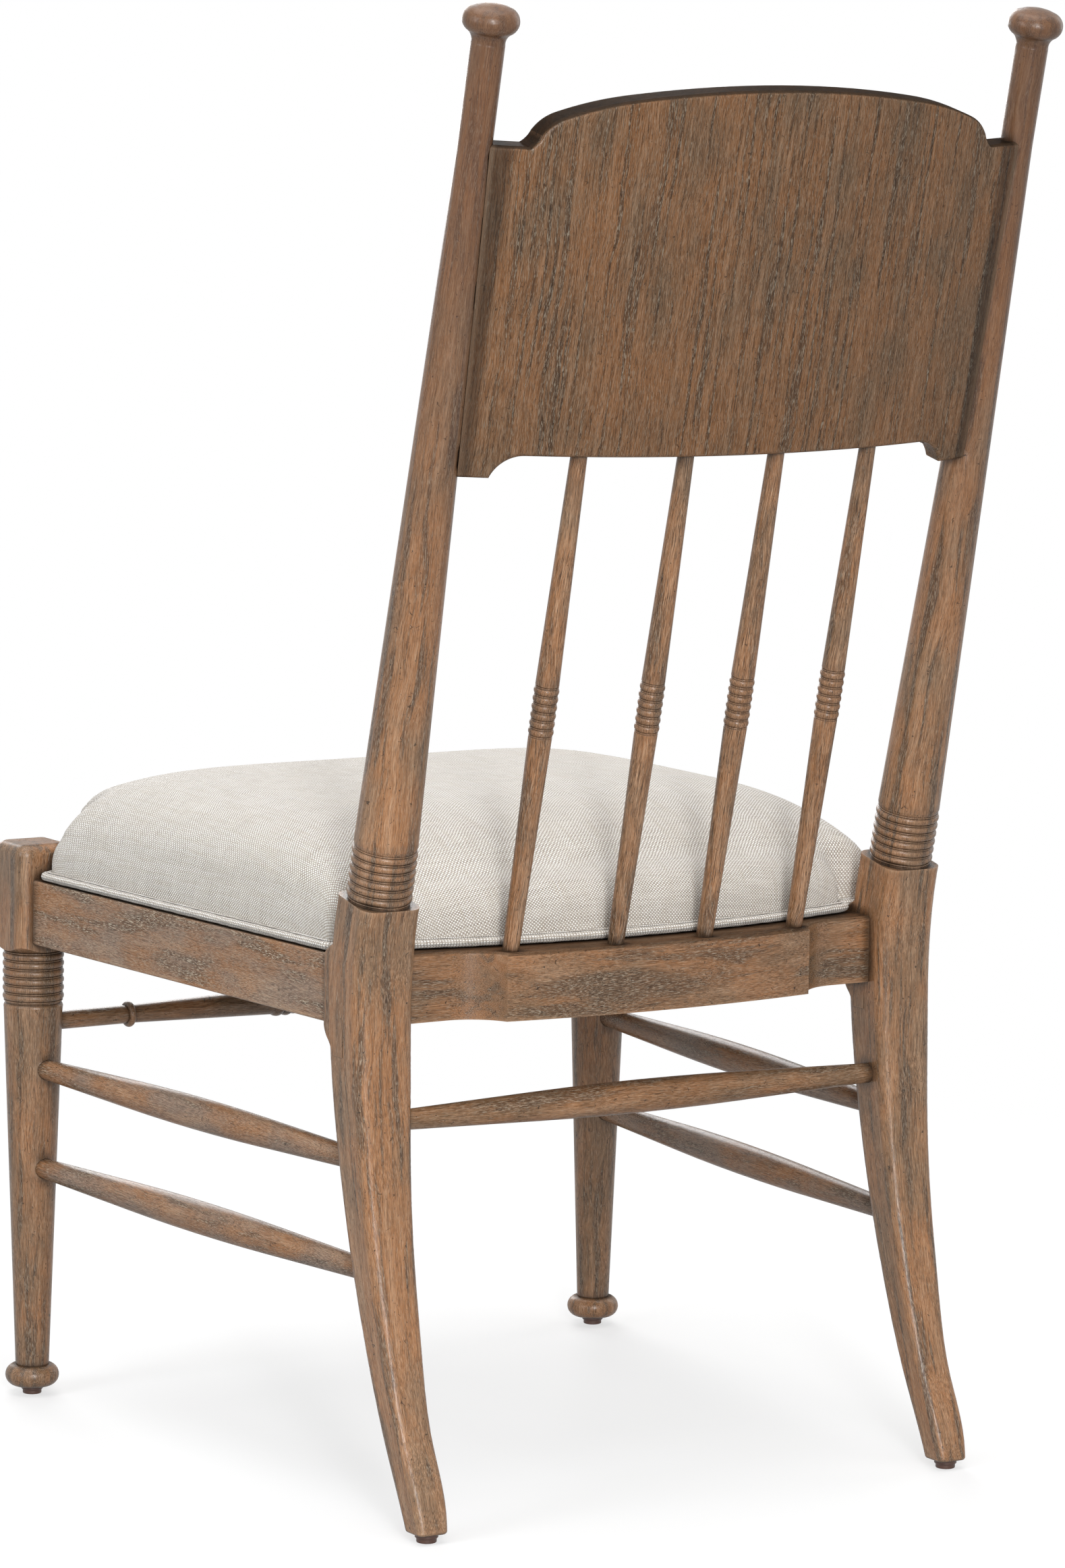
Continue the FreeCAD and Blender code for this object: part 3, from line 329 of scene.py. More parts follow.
# Relief and gloss of the surface
WOOD_RELIEF = 0.00007
PORE_SINK = 0.9
PORE_LEAST_SINK = 0.1
FIBRE_RISE = -0.25
FLAW_RISE = -0.8
STREAK_RISE = 0.8
ROUGH_LEAST = 0.30
ROUGH_SPAN = 0.18
PORE_ROUGH = 0.25
COAT_ROUGHNESS = 0.22
TOP_COAT_LOSS = 0.8


def grain_place(s, axis, post):
    """Place in millimetres with its third axis along the grain. A post's grain follows its sweep and lean."""
    place = s.object_place()
    if post:
        x, y, z = s.split(place)
        above = s.math("MAXIMUM", s.math("SUBTRACT", z, KNEE_HEIGHT * 1000), 0.0)
        below = s.math("MAXIMUM", s.math("SUBTRACT", BEND_HEIGHT * 1000, z), 0.0)
        lean = s.math("MULTIPLY", above, math.tan(BACK_LEAN))
        sweep = s.math("DIVIDE", s.math("POWER", below, 2.0), SWEEP_RADIUS * 2000)
        return s.join(x, s.math("SUBTRACT", s.math("SUBTRACT", y, lean), sweep), z)
    along = Vector(axis).normalized()
    aside = along.cross(Vector((0, 0, 1)) if abs(along.z) < 0.9 else Vector((0, 1, 0))).normalized()
    third = along.cross(aside)
    return s.join(*[s.vector("DOT_PRODUCT", place, tuple(direction)) for direction in (aside, third, along)])


def wandering(s, place, seed):
    """Place with the grain's slow wander from side to side."""
    drift = s.math("SUBTRACT", s.grain(place, 0.020, 0.012, seed + 5), 0.5)
    return s.vector("ADD", place, s.join(*[s.math("MULTIPLY", drift, share) for share in WANDER]))


def dark_patch(s, place, seed, middle, reach):
    """Share of a ragged oval patch on the object."""
    ragged = s.grain(place, 0.06, 0.02, seed + 3, detail=3.0, roughness=0.6)
    away = s.vector("LENGTH", s.vector("DIVIDE", s.vector("SUBTRACT", s.object_place(), middle), reach))
    return s.ramp(s.math("ADD", away, s.math("MULTIPLY_ADD", ragged, 2.0, -1.0)), *PATCH_SPAN)


def flaws(s, place, seed):
    """Share of scattered dots and short winding marks."""
    scatter = s.ramp(s.grain(place, 0.045, 0.035, seed + 71), *DOT_AREA_SPAN)
    middles = s.cells(s.vector("ADD", place, (seed, seed, seed)), (0.20, 0.20, 0.14), randomness=1.0)
    dot = s.math("MULTIPLY", s.ramp(middles, *DOT_SPAN), scatter)
    contour = s.math("ABSOLUTE", s.math("SUBTRACT", s.grain(place, 0.14, 0.17, seed + 83, detail=1.0), 0.5))
    short = s.ramp(s.grain(place, 0.22, 0.17, seed + 89, detail=1.0), *MARK_AREA_SPAN)
    return s.math("MAXIMUM", dot, s.math("MULTIPLY", s.ramp(contour, *MARK_SPAN), short))


def glazed_and_shaded(s, colour, bands, ends, aloft):
    """Colour with the glaze, painted shade, painted highlight and depth that depend on the place on the object."""
    x, _, z = s.split(s.object_place())
    # Towards both ends along X: painted shade and glaze where the crest meets the posts
    if ends is not None:
        colour = s.cover(colour, s.ramp(s.math("ABSOLUTE", x), *ends), END_COVER, GLAZE_AND_SHADE)
    if aloft is not None:
        colour = s.cover(colour, s.ramp(z, *aloft), ALOFT_COVER, DEEP)
    # Height bands: painted shade over the beads and on the spindles under the crest
    for low, high in bands:
        inside = s.math("MULTIPLY", s.ramp(z, low - 4, low + 1), s.ramp(z, high + 4, high - 1))
        colour = s.cover(colour, inside, BAND_COVER, UMBER)
    # Convex edges: paler wear and painted highlight
    wear_and_highlight = s.ramp(s.openness(WEAR_AND_HIGHLIGHT_REACH, inside=True, only_local=True), *WEAR_AND_HIGHLIGHT_SPAN)
    colour = s.cover(colour, wear_and_highlight, WEAR_AND_HIGHLIGHT_COVER, PALE)
    # Hollows and joins between parts: glaze and painted shade
    return s.cover(colour, s.ramp(s.openness(HOLLOW_REACH), *HOLLOW_SPAN), HOLLOW_COVER, GLAZE_AND_SHADE)


def wood(name, axis, seed, post=False, grey=GREY, warm=0.5, depth=1.0, fibres=1.0, pores=0.5, lime=0.5, specks=0.5,
         figure=(0.085, 0.0095), bands=(), patch=None, ends=None, aloft=None, painted_top_shade=0.0, upward=(0.05, 0.55),
         coat=0.62, light=1.0):
    """Stained, lightly limed hardwood with glaze, painted shade and painted highlight, its grain along an axis or
    along a post.

    Grey is the stain's cooler colour, which on the side pieces also holds painted sheen, and warm is how much of the
    warmer one there is. Depth, fibres, pores, lime and specks say how strong these layers are. Figure is how many
    streaks there are in a millimetre across and along the grain. Bands are height ranges, and ends a range of X to
    both
    sides, that are darker: bands with painted shade over the beads and on the spindles under the crest, and ends with
    painted shade and glaze where the crest meets the posts. Patch is the middle and the reach of a dark patch, and
    aloft the range of height over which the wood gets deeper. The top shade darkens what faces up with painted shade,
    from the first to the second share of upward. Coat is the gloss, and light multiplies the colour.
    """
    s = material(name)
    place = wandering(s, grain_place(s, axis, post), seed)
    zone = s.grain(place, 0.026, 0.011, seed, detail=3.0, roughness=0.6)
    streaks = s.grain(place, *figure, seed + 11, detail=3.0, roughness=0.6, distortion=0.3)
    fibre = s.grain(place, 2.3, 0.045, seed + 23, detail=3.0, roughness=0.75)
    crack = s.grain(place, 1.9, 0.15, seed + 41, roughness=0.6)
    fleck = s.grain(place, 2.3, 0.22, seed + 53)

    centre = ZONE_MIDDLE + ZONE_SHIFT * (0.5 - warm)
    colour = s.mix(s.ramp(zone, centre - ZONE_HALF_SPAN, centre + ZONE_HALF_SPAN), grey, WARM)
    colour = s.cover(colour, s.ramp(streaks, *PALE_STREAK_SPAN), PALE_STREAK_COVER, PALE)
    shade = s.ramp(streaks, *SHADE_SPAN)
    if patch is not None:
        shade = s.math("MAXIMUM", shade, dark_patch(s, place, seed, *patch))
    colour = s.cover(colour, shade, SHADE_COVER * depth, UMBER)
    fine = s.ramp(fibre, *DARK_FIBRE_SPAN)
    colour = s.cover(colour, s.ramp(fibre, *PALE_FIBRE_SPAN), PALE_FIBRE_COVER * fibres, PALE)
    colour = s.cover(colour, fine, DARK_FIBRE_COVER * fibres, DARK)
    pore_share = s.math("MULTIPLY_ADD", shade, 1 - PORES_IN_LIGHT, PORES_IN_LIGHT)
    pore_line = s.math("MULTIPLY", s.ramp(crack, *PORE_SPAN), pore_share)
    colour = s.cover(colour, pore_line, pores, DARK)
    lime_share = s.math("MULTIPLY_ADD", shade, 1 - LIME_IN_LIGHT, LIME_IN_LIGHT)
    colour = s.cover(colour, s.math("MULTIPLY", s.ramp(fleck, *LIME_SPAN), lime_share), lime, LIME)
    flaw = s.math("MULTIPLY", flaws(s, place, seed), specks, clamp=True)
    colour = s.cover(colour, flaw, FLAW_COVER, SPECK)

    # Faces that look up: painted shade in the colour, and less coat
    if painted_top_shade:
        facing_up = s.ramp(s.split(s.add("ShaderNodeNewGeometry").outputs["Normal"])[2], *upward)
        colour = s.cover(colour, facing_up, painted_top_shade, GLAZE_AND_SHADE)
        coat = s.math("MULTIPLY_ADD", facing_up, -TOP_COAT_LOSS * coat, coat)
    colour = glazed_and_shaded(s, colour, bands, ends, aloft)
    if light != 1.0:
        bright = s.add("ShaderNodeHueSaturation")
        bright.inputs["Value"].default_value = light
        s.put(bright.inputs["Color"], colour)
        colour = bright.outputs["Color"]

    rough = s.math("MULTIPLY_ADD", s.grain(place, 0.12, 0.05, seed + 97), ROUGH_SPAN, ROUGH_LEAST)
    rough = s.math("ADD", rough, s.math("MULTIPLY", pore_line, PORE_ROUGH), clamp=True)
    height = s.math("MULTIPLY_ADD", pore_line, -PORE_SINK * pores - PORE_LEAST_SINK, 1.0)
    for layer, rise in ((fine, FIBRE_RISE), (flaw, FLAW_RISE), (streaks, STREAK_RISE)):
        height = s.math("MULTIPLY_ADD", layer, rise, height)
    return s.surface(colour, rough, height, WOOD_RELIEF, coat, Specular_IOR_Level=0.0, Coat_Roughness=COAT_ROUGHNESS)


PLY_BOTTOM = 415.0
PLY_LAYER = 1.5


def bare_wood(name, axis, seed, pale, deep, ply=False):
    """Unfinished wood of the hidden pieces. Plywood shows its layers as bands by height."""
    s = material(name)
    place = grain_place(s, axis, False)
    bands = s.noise(place, (0.2, 0.2, 0.006), seed, 3.0, 0.55, 0.3)
    fibre = s.noise(place, (1.1, 1.1, 0.03), seed + 5)
    colour = s.mix(s.ramp(bands, 0.35, 0.68), pale, deep)
    colour = s.cover(colour, s.ramp(fibre, 0.5, 0.7), 0.4, deep)
    if ply:
        layer = s.math("PINGPONG", s.math("SUBTRACT", s.split(s.object_place())[2], PLY_BOTTOM), PLY_LAYER)
        colour = s.cover(colour, s.ramp(layer, 0.7, 0.9), 0.35, deep)
    return s.surface(colour, 0.72, s.math("SUBTRACT", 1.0, fibre), 0.00015)


ALONG_X, ALONG_Y, ALONG_Z, ALONG_BACK = (1, 0, 0), (0, 1, 0), (0, 0, 1), tuple(BACK_AXIS)
CREST_END = 1000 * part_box("crest_panel")[1].x - 12
FRONT_LEG = dict(axis=ALONG_Z, depth=1.3, figure=(0.15, 0.009), bands=[(314, 356)], painted_top_shade=0.35,
                 upward=(0.8, 0.98), light=0.87)
REAR_POST = dict(axis=ALONG_Z, post=True, figure=(0.15, 0.008), bands=[(455, 497)], aloft=(500, 1030), specks=0.9)
# The side rails and side stretchers take the cool grey with its painted sheen
SIDE_RAIL = dict(axis=ALONG_Y, grey=COOL, depth=1.1, pores=0.4, lime=0.9, specks=0.6, coat=0.4, light=0.95)
SIDE_STRETCHER = dict(axis=ALONG_Y, grey=COOL, specks=0.8, coat=0.4, light=0.95)
# The spindles' upper band, just under the crest, is painted shade
SPINDLE = dict(axis=ALONG_BACK, fibres=1.5, lime=0.3, specks=0.7, bands=[(576, 615), (752, 790)], light=0.93)
FINISHES = {
    "front_leg_left": dict(FRONT_LEG, seed=3, warm=0.3, lime=0.35, specks=0.8),
    "front_leg_right": dict(FRONT_LEG, seed=61, warm=0.4, lime=0.3, specks=0.9),
    "rear_post_left": dict(REAR_POST, seed=17, warm=0.75, depth=1.4, lime=0.35),
    "rear_post_right": dict(REAR_POST, seed=29, warm=0.6, depth=1.5, lime=0.3),
    "front_rail": dict(axis=ALONG_X, seed=7, lime=0.4),
    "rear_rail": dict(axis=ALONG_X, seed=43, depth=1.15, pores=0.6, lime=0.45, specks=0.9, painted_top_shade=0.6, coat=0.5,
                      patch=((35, 190, 383), (85, 200, 13)), light=0.86),
    "side_rail_left": dict(SIDE_RAIL, seed=47, warm=0.35),
    "side_rail_right": dict(SIDE_RAIL, seed=51, warm=0.4),
    # The crest gets painted shade at its ends by the posts and on its top
    "crest_panel": dict(axis=ALONG_BACK, seed=71, warm=0.75, depth=1.3, pores=0.7, lime=0.6, specks=0.6,
                        figure=(0.26, 0.0042), ends=(CREST_END - 9, CREST_END), painted_top_shade=0.9, coat=0.3, light=0.60),
    "side_stretcher_upper_left": dict(SIDE_STRETCHER, seed=83, warm=0.55, lime=0.6),
    "side_stretcher_upper_right": dict(SIDE_STRETCHER, seed=89, warm=0.35, lime=0.6),
    "side_stretcher_lower_left": dict(SIDE_STRETCHER, seed=97, warm=0.45, lime=0.6),
    "side_stretcher_lower_right": dict(SIDE_STRETCHER, seed=101, warm=0.3, lime=0.5),
    # The front stretcher's lowered light is painted shade under the seat
    "front_stretcher": dict(axis=ALONG_X, seed=103, warm=0.45, lime=0.4, specks=1.0, light=0.85),
    "rear_stretcher": dict(axis=ALONG_X, seed=107, warm=0.6, pores=0.6, lime=0.45, specks=0.8, coat=0.4, light=0.93),
    "spindle_inner_left": dict(SPINDLE, seed=109, warm=0.6),
    "spindle_inner_right": dict(SPINDLE, seed=113, warm=0.6),
    "spindle_outer_left": dict(SPINDLE, seed=127, warm=0.65),
    "spindle_outer_right": dict(SPINDLE, seed=131, warm=0.6),
}


def clouded(name, seed, dark, pale, cloud, marks, rough_span, smoothest, relief, metallic=0.0):
    """Plastic or metal with a faint cloud of colour, and fine marks in its gloss and relief."""
    s = material(name)
    place = s.object_place()
    mark = s.noise(place, marks, seed + 4)
    colour = s.mix(s.noise(place, (cloud,) * 3, seed, 3.0), dark, pale)
    return s.surface(colour, s.math("MULTIPLY_ADD", mark, rough_span, smoothest), mark, relief, Metallic=metallic)


finishes = {name: wood(name + "_finish", **facts) for name, facts in FINISHES.items()}
board_finish = bare_wood("board_finish", ALONG_X, 13, rgb(214, 188, 146), rgb(176, 140, 98), True)
finishes_by_word = {
    "glide": clouded("glide_plastic_finish", 5, rgb(62, 38, 30), rgb(84, 56, 44), cloud=0.6, marks=(3.5, 3.5, 3.5),
                     rough_span=0.25, smoothest=0.35, relief=0.00006),
    "screws": clouded("screw_steel_finish", 3, rgb(176, 176, 172), rgb(202, 200, 192), cloud=0.5,
                      marks=(4.0, 4.0, 0.6), rough_span=0.2, smoothest=0.25, relief=0.00003, metallic=1.0),
    "dowels": bare_wood("dowel_finish", ALONG_Y, 9, rgb(214, 186, 144), rgb(182, 146, 104)),
    "corner_brace": bare_wood("brace_finish", ALONG_X, 5, rgb(206, 176, 132), rgb(170, 132, 90)),
}
for name, node in nodes.items():
    by_word = (finish for word, finish in finishes_by_word.items() if word in name)
    finish = finishes[name] if name in finishes else next(by_word, board_finish)
    for held in node.material_slots:
        held.material = finish


# Mesh help

def add_mesh(name, points, faces, smooth=True):
    mesh = bpy.data.meshes.new(name)
    mesh.from_pydata([tuple(point) for point in points], [], faces)
    mesh.validate()
    for polygon in mesh.polygons:
        polygon.use_smooth = smooth
    made = bpy.data.objects.new(name, mesh)
    scene.collection.objects.link(made)
    return made


def settle(piece):
    """Replaces a piece's mesh by what its modifiers make of it, and clears them."""
    graph = bpy.context.evaluated_depsgraph_get()
    mesh = bpy.data.meshes.new_from_object(piece.evaluated_get(graph))
    piece.modifiers.clear()
    piece.data = mesh


def coordinates(piece):
    values = np.empty(len(piece.data.vertices) * 3)
    piece.data.vertices.foreach_get("co", values)
    return values.reshape(-1, 3)


def place_vertices(piece, values):
    piece.data.vertices.foreach_set("co", np.asarray(values, float).ravel())
    piece.data.update()


def ring_faces(count, rings):
    """Quads between rings of points, and a fan from the last ring to the one point after it."""
    faces = []
    last = (rings - 1) * count
    for low in range(0, last, count):
        for place in range(count):
            ahead = (place + 1) % count
            faces.append((low + place, low + ahead, low + count + ahead, low + count + place))
    return faces + [(last + place, last + (place + 1) % count, last + count) for place in range(count)]


# Plan of the padded seat

rail_low, rail_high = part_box("rear_rail")
side_low, side_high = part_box("side_rail_left")
leg_low, leg_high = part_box("front_leg_left")
front_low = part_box("front_rail")[0]


def side_face(y):
    """X of the left side rail's outer face."""
    share = (y - side_low.y) / (side_high.y - side_low.y)
    return side_high.x + (side_low.x + SIDE_THICKNESS - side_high.x) * share


def rounded(points, radii, spacing):
    """Closed loop through corner points, each rounded to its radius, resampled at an even spacing."""
    count = len(points)
    path = []
    for place in range(count):
        here = np.array(points[place])
        back = np.array(points[place - 1]) - here
        ahead = np.array(points[(place + 1) % count]) - here
        reach_back, reach_ahead = np.linalg.norm(back), np.linalg.norm(ahead)
        back, ahead = back / reach_back, ahead / reach_ahead
        turn = math.acos(max(-1.0, min(1.0, float(np.dot(back, ahead)))))
        cut = radii[place] / math.tan(turn / 2)
        cut = min(cut, 0.48 * reach_back, 0.48 * reach_ahead)
        start, end = here + back * cut, here + ahead * cut
        for share in np.linspace(0, 1, 9):
            path.append((1 - share) ** 2 * start + 2 * share * (1 - share) * here + share ** 2 * end)
    path = np.array(path)
    closed = np.vstack([path, path[:1]])
    lengths = np.r_[0, np.cumsum(np.linalg.norm(np.diff(closed, axis=0), axis=1))]
    total = int(round(lengths[-1] / spacing))
    wanted = np.linspace(0, lengths[-1], total, endpoint=False)
    return np.c_[np.interp(wanted, lengths, closed[:, 0]), np.interp(wanted, lengths, closed[:, 1])]


def seat_outline(inset, spacing=0.003, bridged=False):
    """Closed plan of the padded seat, drawn in by an inset, anticlockwise from above. A bridged plan runs straight
    across the notches at the legs."""
    gap = SEAT_GAP + inset
    front = front_low.y + gap
    notch_x, notch_y = leg_low.x - gap, leg_high.y + gap
    ear_y = side_high.y - gap
    inner_x = rail_high.x - gap
    rear_end = rail_low.y + SEAT_END_SHELF - gap
    rear_middle = rail_high.y - SEAT_BACK_MARGIN - gap
    right = [(notch_x, front), (notch_x, notch_y), (side_face(notch_y) - gap, notch_y),
             (side_face(ear_y) - gap, ear_y), (inner_x, ear_y), (inner_x, rear_end)]
    radii = [PROUD_RADIUS, NOTCH_RADIUS, PROUD_RADIUS, PROUD_RADIUS, NOTCH_RADIUS, PROUD_RADIUS]
    if bridged:
        right = [right[0], right[2], right[3], right[5]]
        radii = [BRIDGE_RADIUS] * len(right)
    bow = rear_middle - rear_end
    radius = (inner_x ** 2 + bow ** 2) / (2 * bow)
    sweep = math.asin(inner_x / radius)
    arc = [(radius * math.sin(a), rear_middle - radius + radius * math.cos(a))
           for a in np.linspace(sweep, -sweep, 15)[1:-1]]
    points = right + arc + [(-x, y) for x, y in reversed(right)]
    return rounded(points, radii + [BOW_RADIUS] * len(arc) + radii[::-1], spacing)


def nearest_on(outline, points):
    """For (x, y) points, the nearest places on a closed outline and how far away they are."""
    start, end = outline, np.roll(outline, -1, axis=0)
    along = end - start
    square = (along ** 2).sum(1)
    best = np.full(len(points), 1e9)
    places = np.zeros((len(points), 2))
    for a, b, c in zip(start, along, square):
        share = np.clip(((points - a) @ b) / c, 0, 1)
        spots = a + share[:, None] * b
        away = np.linalg.norm(points - spots, axis=1)
        closer = away < best
        best[closer] = away[closer]
        places[closer] = spots[closer]
    return places, best


def plan_middle(outline):
    return np.array([0.0, (outline[:, 1].min() + outline[:, 1].max()) / 2])


def dome_height(points):
    """How much the broad dome adds over (x, y) points."""
    across = np.abs(points[:, 0] / CROWN_DOME_HALF[0]).clip(0, 1) ** CROWN_DOME_POWERS[0]
    along = np.abs((points[:, 1] - CROWN_DOME_MIDDLE) / CROWN_DOME_HALF[1]).clip(0, 1) ** CROWN_DOME_POWERS[1]
    return CROWN_DOME * (1 - across) * (1 - along)


def shoulder_height(share):
    """How much the rounded shoulder adds at a share of its width, which is 0 at the crown and 1 at the outline."""
    return CROWN_SHOULDER * (1 - share ** CROWN_SHOULDER_POWER) ** (1 / CROWN_SHOULDER_POWER)


def crown_height(points):
    """Height of the cushion over (x, y) points: steep rounded shoulders under a broad dome, and near-upright walls
    in the notches at the legs."""
    near = nearest_on(seat_outline(CUSHION_INSET), points)[1]
    distance = np.maximum(near, nearest_on(seat_outline(CUSHION_INSET, bridged=True), points)[1])
    wall = (1 - np.clip(1 - near / NOTCH_WALL, 0, 1) ** 3) ** (1 / 3)
    wall = 1 - (1 - wall) * np.clip((distance - near) / NOTCH_WALL_FADE, 0, 1)
    shoulder = shoulder_height(np.clip(1 - distance / CROWN_SHOULDER_WIDTH, 0, 1))
    return CROWN_BASE + (shoulder + dome_height(points)) * wall


# Cushion

def cushion():
    """The padded seat: its form from the plan and the crown, swelled as cloth and wrapped round the board."""
    outline = seat_outline(CUSHION_INSET)
    count = len(outline)
    middle = plan_middle(outline)
    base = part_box("seat_cover")[0].z
    flat = np.vstack([middle + (outline - middle) * (1 - inset) for inset in RING_INSETS] + [middle[None, :]])
    heights = crown_height(flat) - CROWN_DRAWN_IN
    heights[-1] = heights[-1 - count:-1].max()
    points = [(x, y, base) for x, y in outline]
    points += [(x, y, z) for (x, y), z in zip(flat, heights)]
    faces = ring_faces(count, len(RING_INSETS) + 1)
    faces.append(tuple(reversed(range(count))))
    piece = add_mesh("seat_cushion", points, faces)

    remesh = piece.modifiers.new("even", "REMESH")
    remesh.mode = "VOXEL"
    remesh.voxel_size = MESH_STEP
    settle(piece)
    swell(piece, base)
    smooth = piece.modifiers.new("smooth", "SMOOTH")
    smooth.factor = 0.5
    smooth.iterations = SMOOTH_ROUNDS
    settle(piece)
    divide = piece.modifiers.new("divide", "SUBSURF")
    divide.levels = 1
    divide.render_levels = 1
    settle(piece)
    wrap_board(piece, outline, base)
    for polygon in piece.data.polygons:
        polygon.use_smooth = True
    return piece


def swell(piece, base):
    """Presses the cushion outward as cloth that is held at its lower edge, and keeps a capped, even share of it."""
    start = coordinates(piece)
    held = piece.vertex_groups.new(name="held")
    low = np.nonzero(start[:, 2] < base + HELD_HEIGHT)[0]
    held.add([int(place) for place in low], 1.0, "REPLACE")
    cloth = piece.modifiers.new("cloth", "CLOTH")
    settings = cloth.settings
    settings.quality = 5
    settings.mass = 0.3
    settings.tension_stiffness = 12
    settings.compression_stiffness = 12
    settings.shear_stiffness = 5
    settings.bending_stiffness = 2.0
    settings.use_pressure = True
    settings.uniform_pressure_force = SWELL_PRESSURE
    settings.vertex_group_mass = "held"
    settings.effector_weights.gravity = 0
    cloth.collision_settings.use_collision = False
    cloth.point_cache.frame_start = 1
    cloth.point_cache.frame_end = SWELL_FRAMES
    for number in range(1, SWELL_FRAMES + 1):
        scene.frame_set(number)
    graph = bpy.context.evaluated_depsgraph_get()
    moved = np.empty(len(start) * 3)
    piece.evaluated_get(graph).data.vertices.foreach_get("co", moved)
    piece.modifiers.clear()
    shift = moved.reshape(-1, 3) - start
    length = np.linalg.norm(shift, axis=1, keepdims=True)
    shift *= np.minimum(1, SWELL_CAP / np.maximum(length, 1e-9))
    place_vertices(piece, start + relaxed(piece, shift, RELAX_ROUNDS))
    scene.frame_set(1)


def relaxed(piece, values, rounds):
    """Values at a piece's vertices, each drawn again and again half way to the mean of its neighbours."""
    ends = np.empty(len(piece.data.edges) * 2, int)
    piece.data.edges.foreach_get("vertices", ends)
    first, second = ends.reshape(-1, 2).T
    count = len(values)
    joined = np.bincount(first, minlength=count) + np.bincount(second, minlength=count)
    for _ in range(rounds):
        total = np.column_stack([np.bincount(first, part[second], count) + np.bincount(second, part[first], count)
                                 for part in values.T])
        values = (values + total / joined[:, None]) / 2
    return values


def wrap_board(piece, outline, base):
    """Draws the lowest part of the cushion's side out to its outline, where the cloth is wrapped round the board."""
    spots = coordinates(piece)
    low = np.nonzero(spots[:, 2] < WRAP_TOP)[0]
    places, away = nearest_on(outline, spots[low, :2])
    share = np.clip((WRAP_TOP - spots[low, 2]) / WRAP_FADE, 0, 1)
    share = share * np.clip((WRAP_REACH - away) / WRAP_REACH_FADE, 0, 1)
    share = share * share * (3 - 2 * share)
    spots[low, :2] += (places - spots[low, :2]) * share[:, None]
    floor_share = share * np.clip((base + WRAP_FLOOR - spots[low, 2]) / WRAP_FLOOR_FADE, 0, 1)
    spots[low, 2] += (base - spots[low, 2]) * floor_share
    place_vertices(piece, spots)


def outward_field(outline):
    """Over a grid, the way out of the seat's plan: the grid's columns and rows, and the way's X and Y there."""
    xs = np.arange(-FIELD_HALF_WIDTH, FIELD_HALF_WIDTH + 0.0001, FIELD_STEP)
    ys = np.arange(outline[:, 1].min() - FIELD_MARGIN, outline[:, 1].max() + FIELD_MARGIN, FIELD_STEP)
    grid = np.array(np.meshgrid(xs, ys)).reshape(2, -1).T
    middle = np.array([0.0, ys.mean()])
    angle = np.arctan2(outline[:, 1] - middle[1], outline[:, 0])
    order = np.argsort(angle)
    radius = np.linalg.norm(outline - middle, axis=1)
    away = np.linalg.norm(grid - middle, axis=1)
    limit = np.interp(np.arctan2(grid[:, 1] - middle[1], grid[:, 0]), angle[order], radius[order], period=2 * math.pi)
    near = nearest_on(outline[::3], grid)[1]
    field = np.where(away < limit, near, -near).reshape(len(ys), len(xs))
    out_y, out_x = np.gradient(-field, FIELD_STEP)
    for _ in range(FIELD_ROUNDS):
        for values in (out_x, out_y):
            values[1:-1, 1:-1] = (values[:-2, 1:-1] + values[2:, 1:-1] + values[1:-1, :-2] + values[1:-1, 2:]) / 4
    return xs, ys, out_x, out_y


def shoulder_drop(spots):
    """For each vertex, how much more cloth than its plan shows the steep side above it takes up."""
    run = np.linspace(0, 1, 400) ** 3
    rise = shoulder_height(1 - run)
    run = run * CROWN_SHOULDER_WIDTH
    lengths = np.r_[0, np.cumsum(np.hypot(np.diff(run), np.diff(rise)))]
    taken = (lengths[-1] - lengths) - (run[-1] - run)
    level = spots[:, 2] - CROWN_BASE - dome_height(spots[:, :2])
    return np.interp(level, rise, taken) + np.maximum(-level, 0)


def cloth_place(piece, outline):
    """Stores where on the flat cloth each vertex lies, in millimetres: its plan place, moved outward by the length
    of cloth that the steep side takes up."""
    spots = coordinates(piece)
    xs, ys, out_x, out_y = outward_field(outline)
    drop = shoulder_drop(spots)
    column = np.clip((spots[:, 0] - xs[0]) / FIELD_STEP, 0, len(xs) - 1.001)
    row = np.clip((spots[:, 1] - ys[0]) / FIELD_STEP, 0, len(ys) - 1.001)
    left, low = column.astype(int), row.astype(int)
    right_share, high_share = column - left, row - low

    def sample(table):
        lower = table[low, left] * (1 - right_share) + table[low, left + 1] * right_share
        upper = table[low + 1, left] * (1 - right_share) + table[low + 1, left + 1] * right_share
        return lower * (1 - high_share) + upper * high_share

    values = np.c_[spots[:, 0] + sample(out_x) * drop, spots[:, 1] + sample(out_y) * drop, np.zeros(len(spots))]
    store_cloth(piece, values * 1000)


def store_cloth(piece, values):
    attribute = piece.data.attributes.new("cloth", "FLOAT_VECTOR", "POINT")
    attribute.data.foreach_set("vector", np.asarray(values, np.float32).ravel())


WEAVE_WHITE = (rgb(250, 248, 245), rgb(234, 229, 221))
WEAVE_GREIGE = (rgb(196, 188, 177), rgb(160, 150, 138))
WEAVE_GAP = rgb(140, 130, 118)
WEAVE_TINT = rgb(206, 196, 182)
WEAVE_SWAY = 3.0
WEAVE_RELIEF = 0.00035


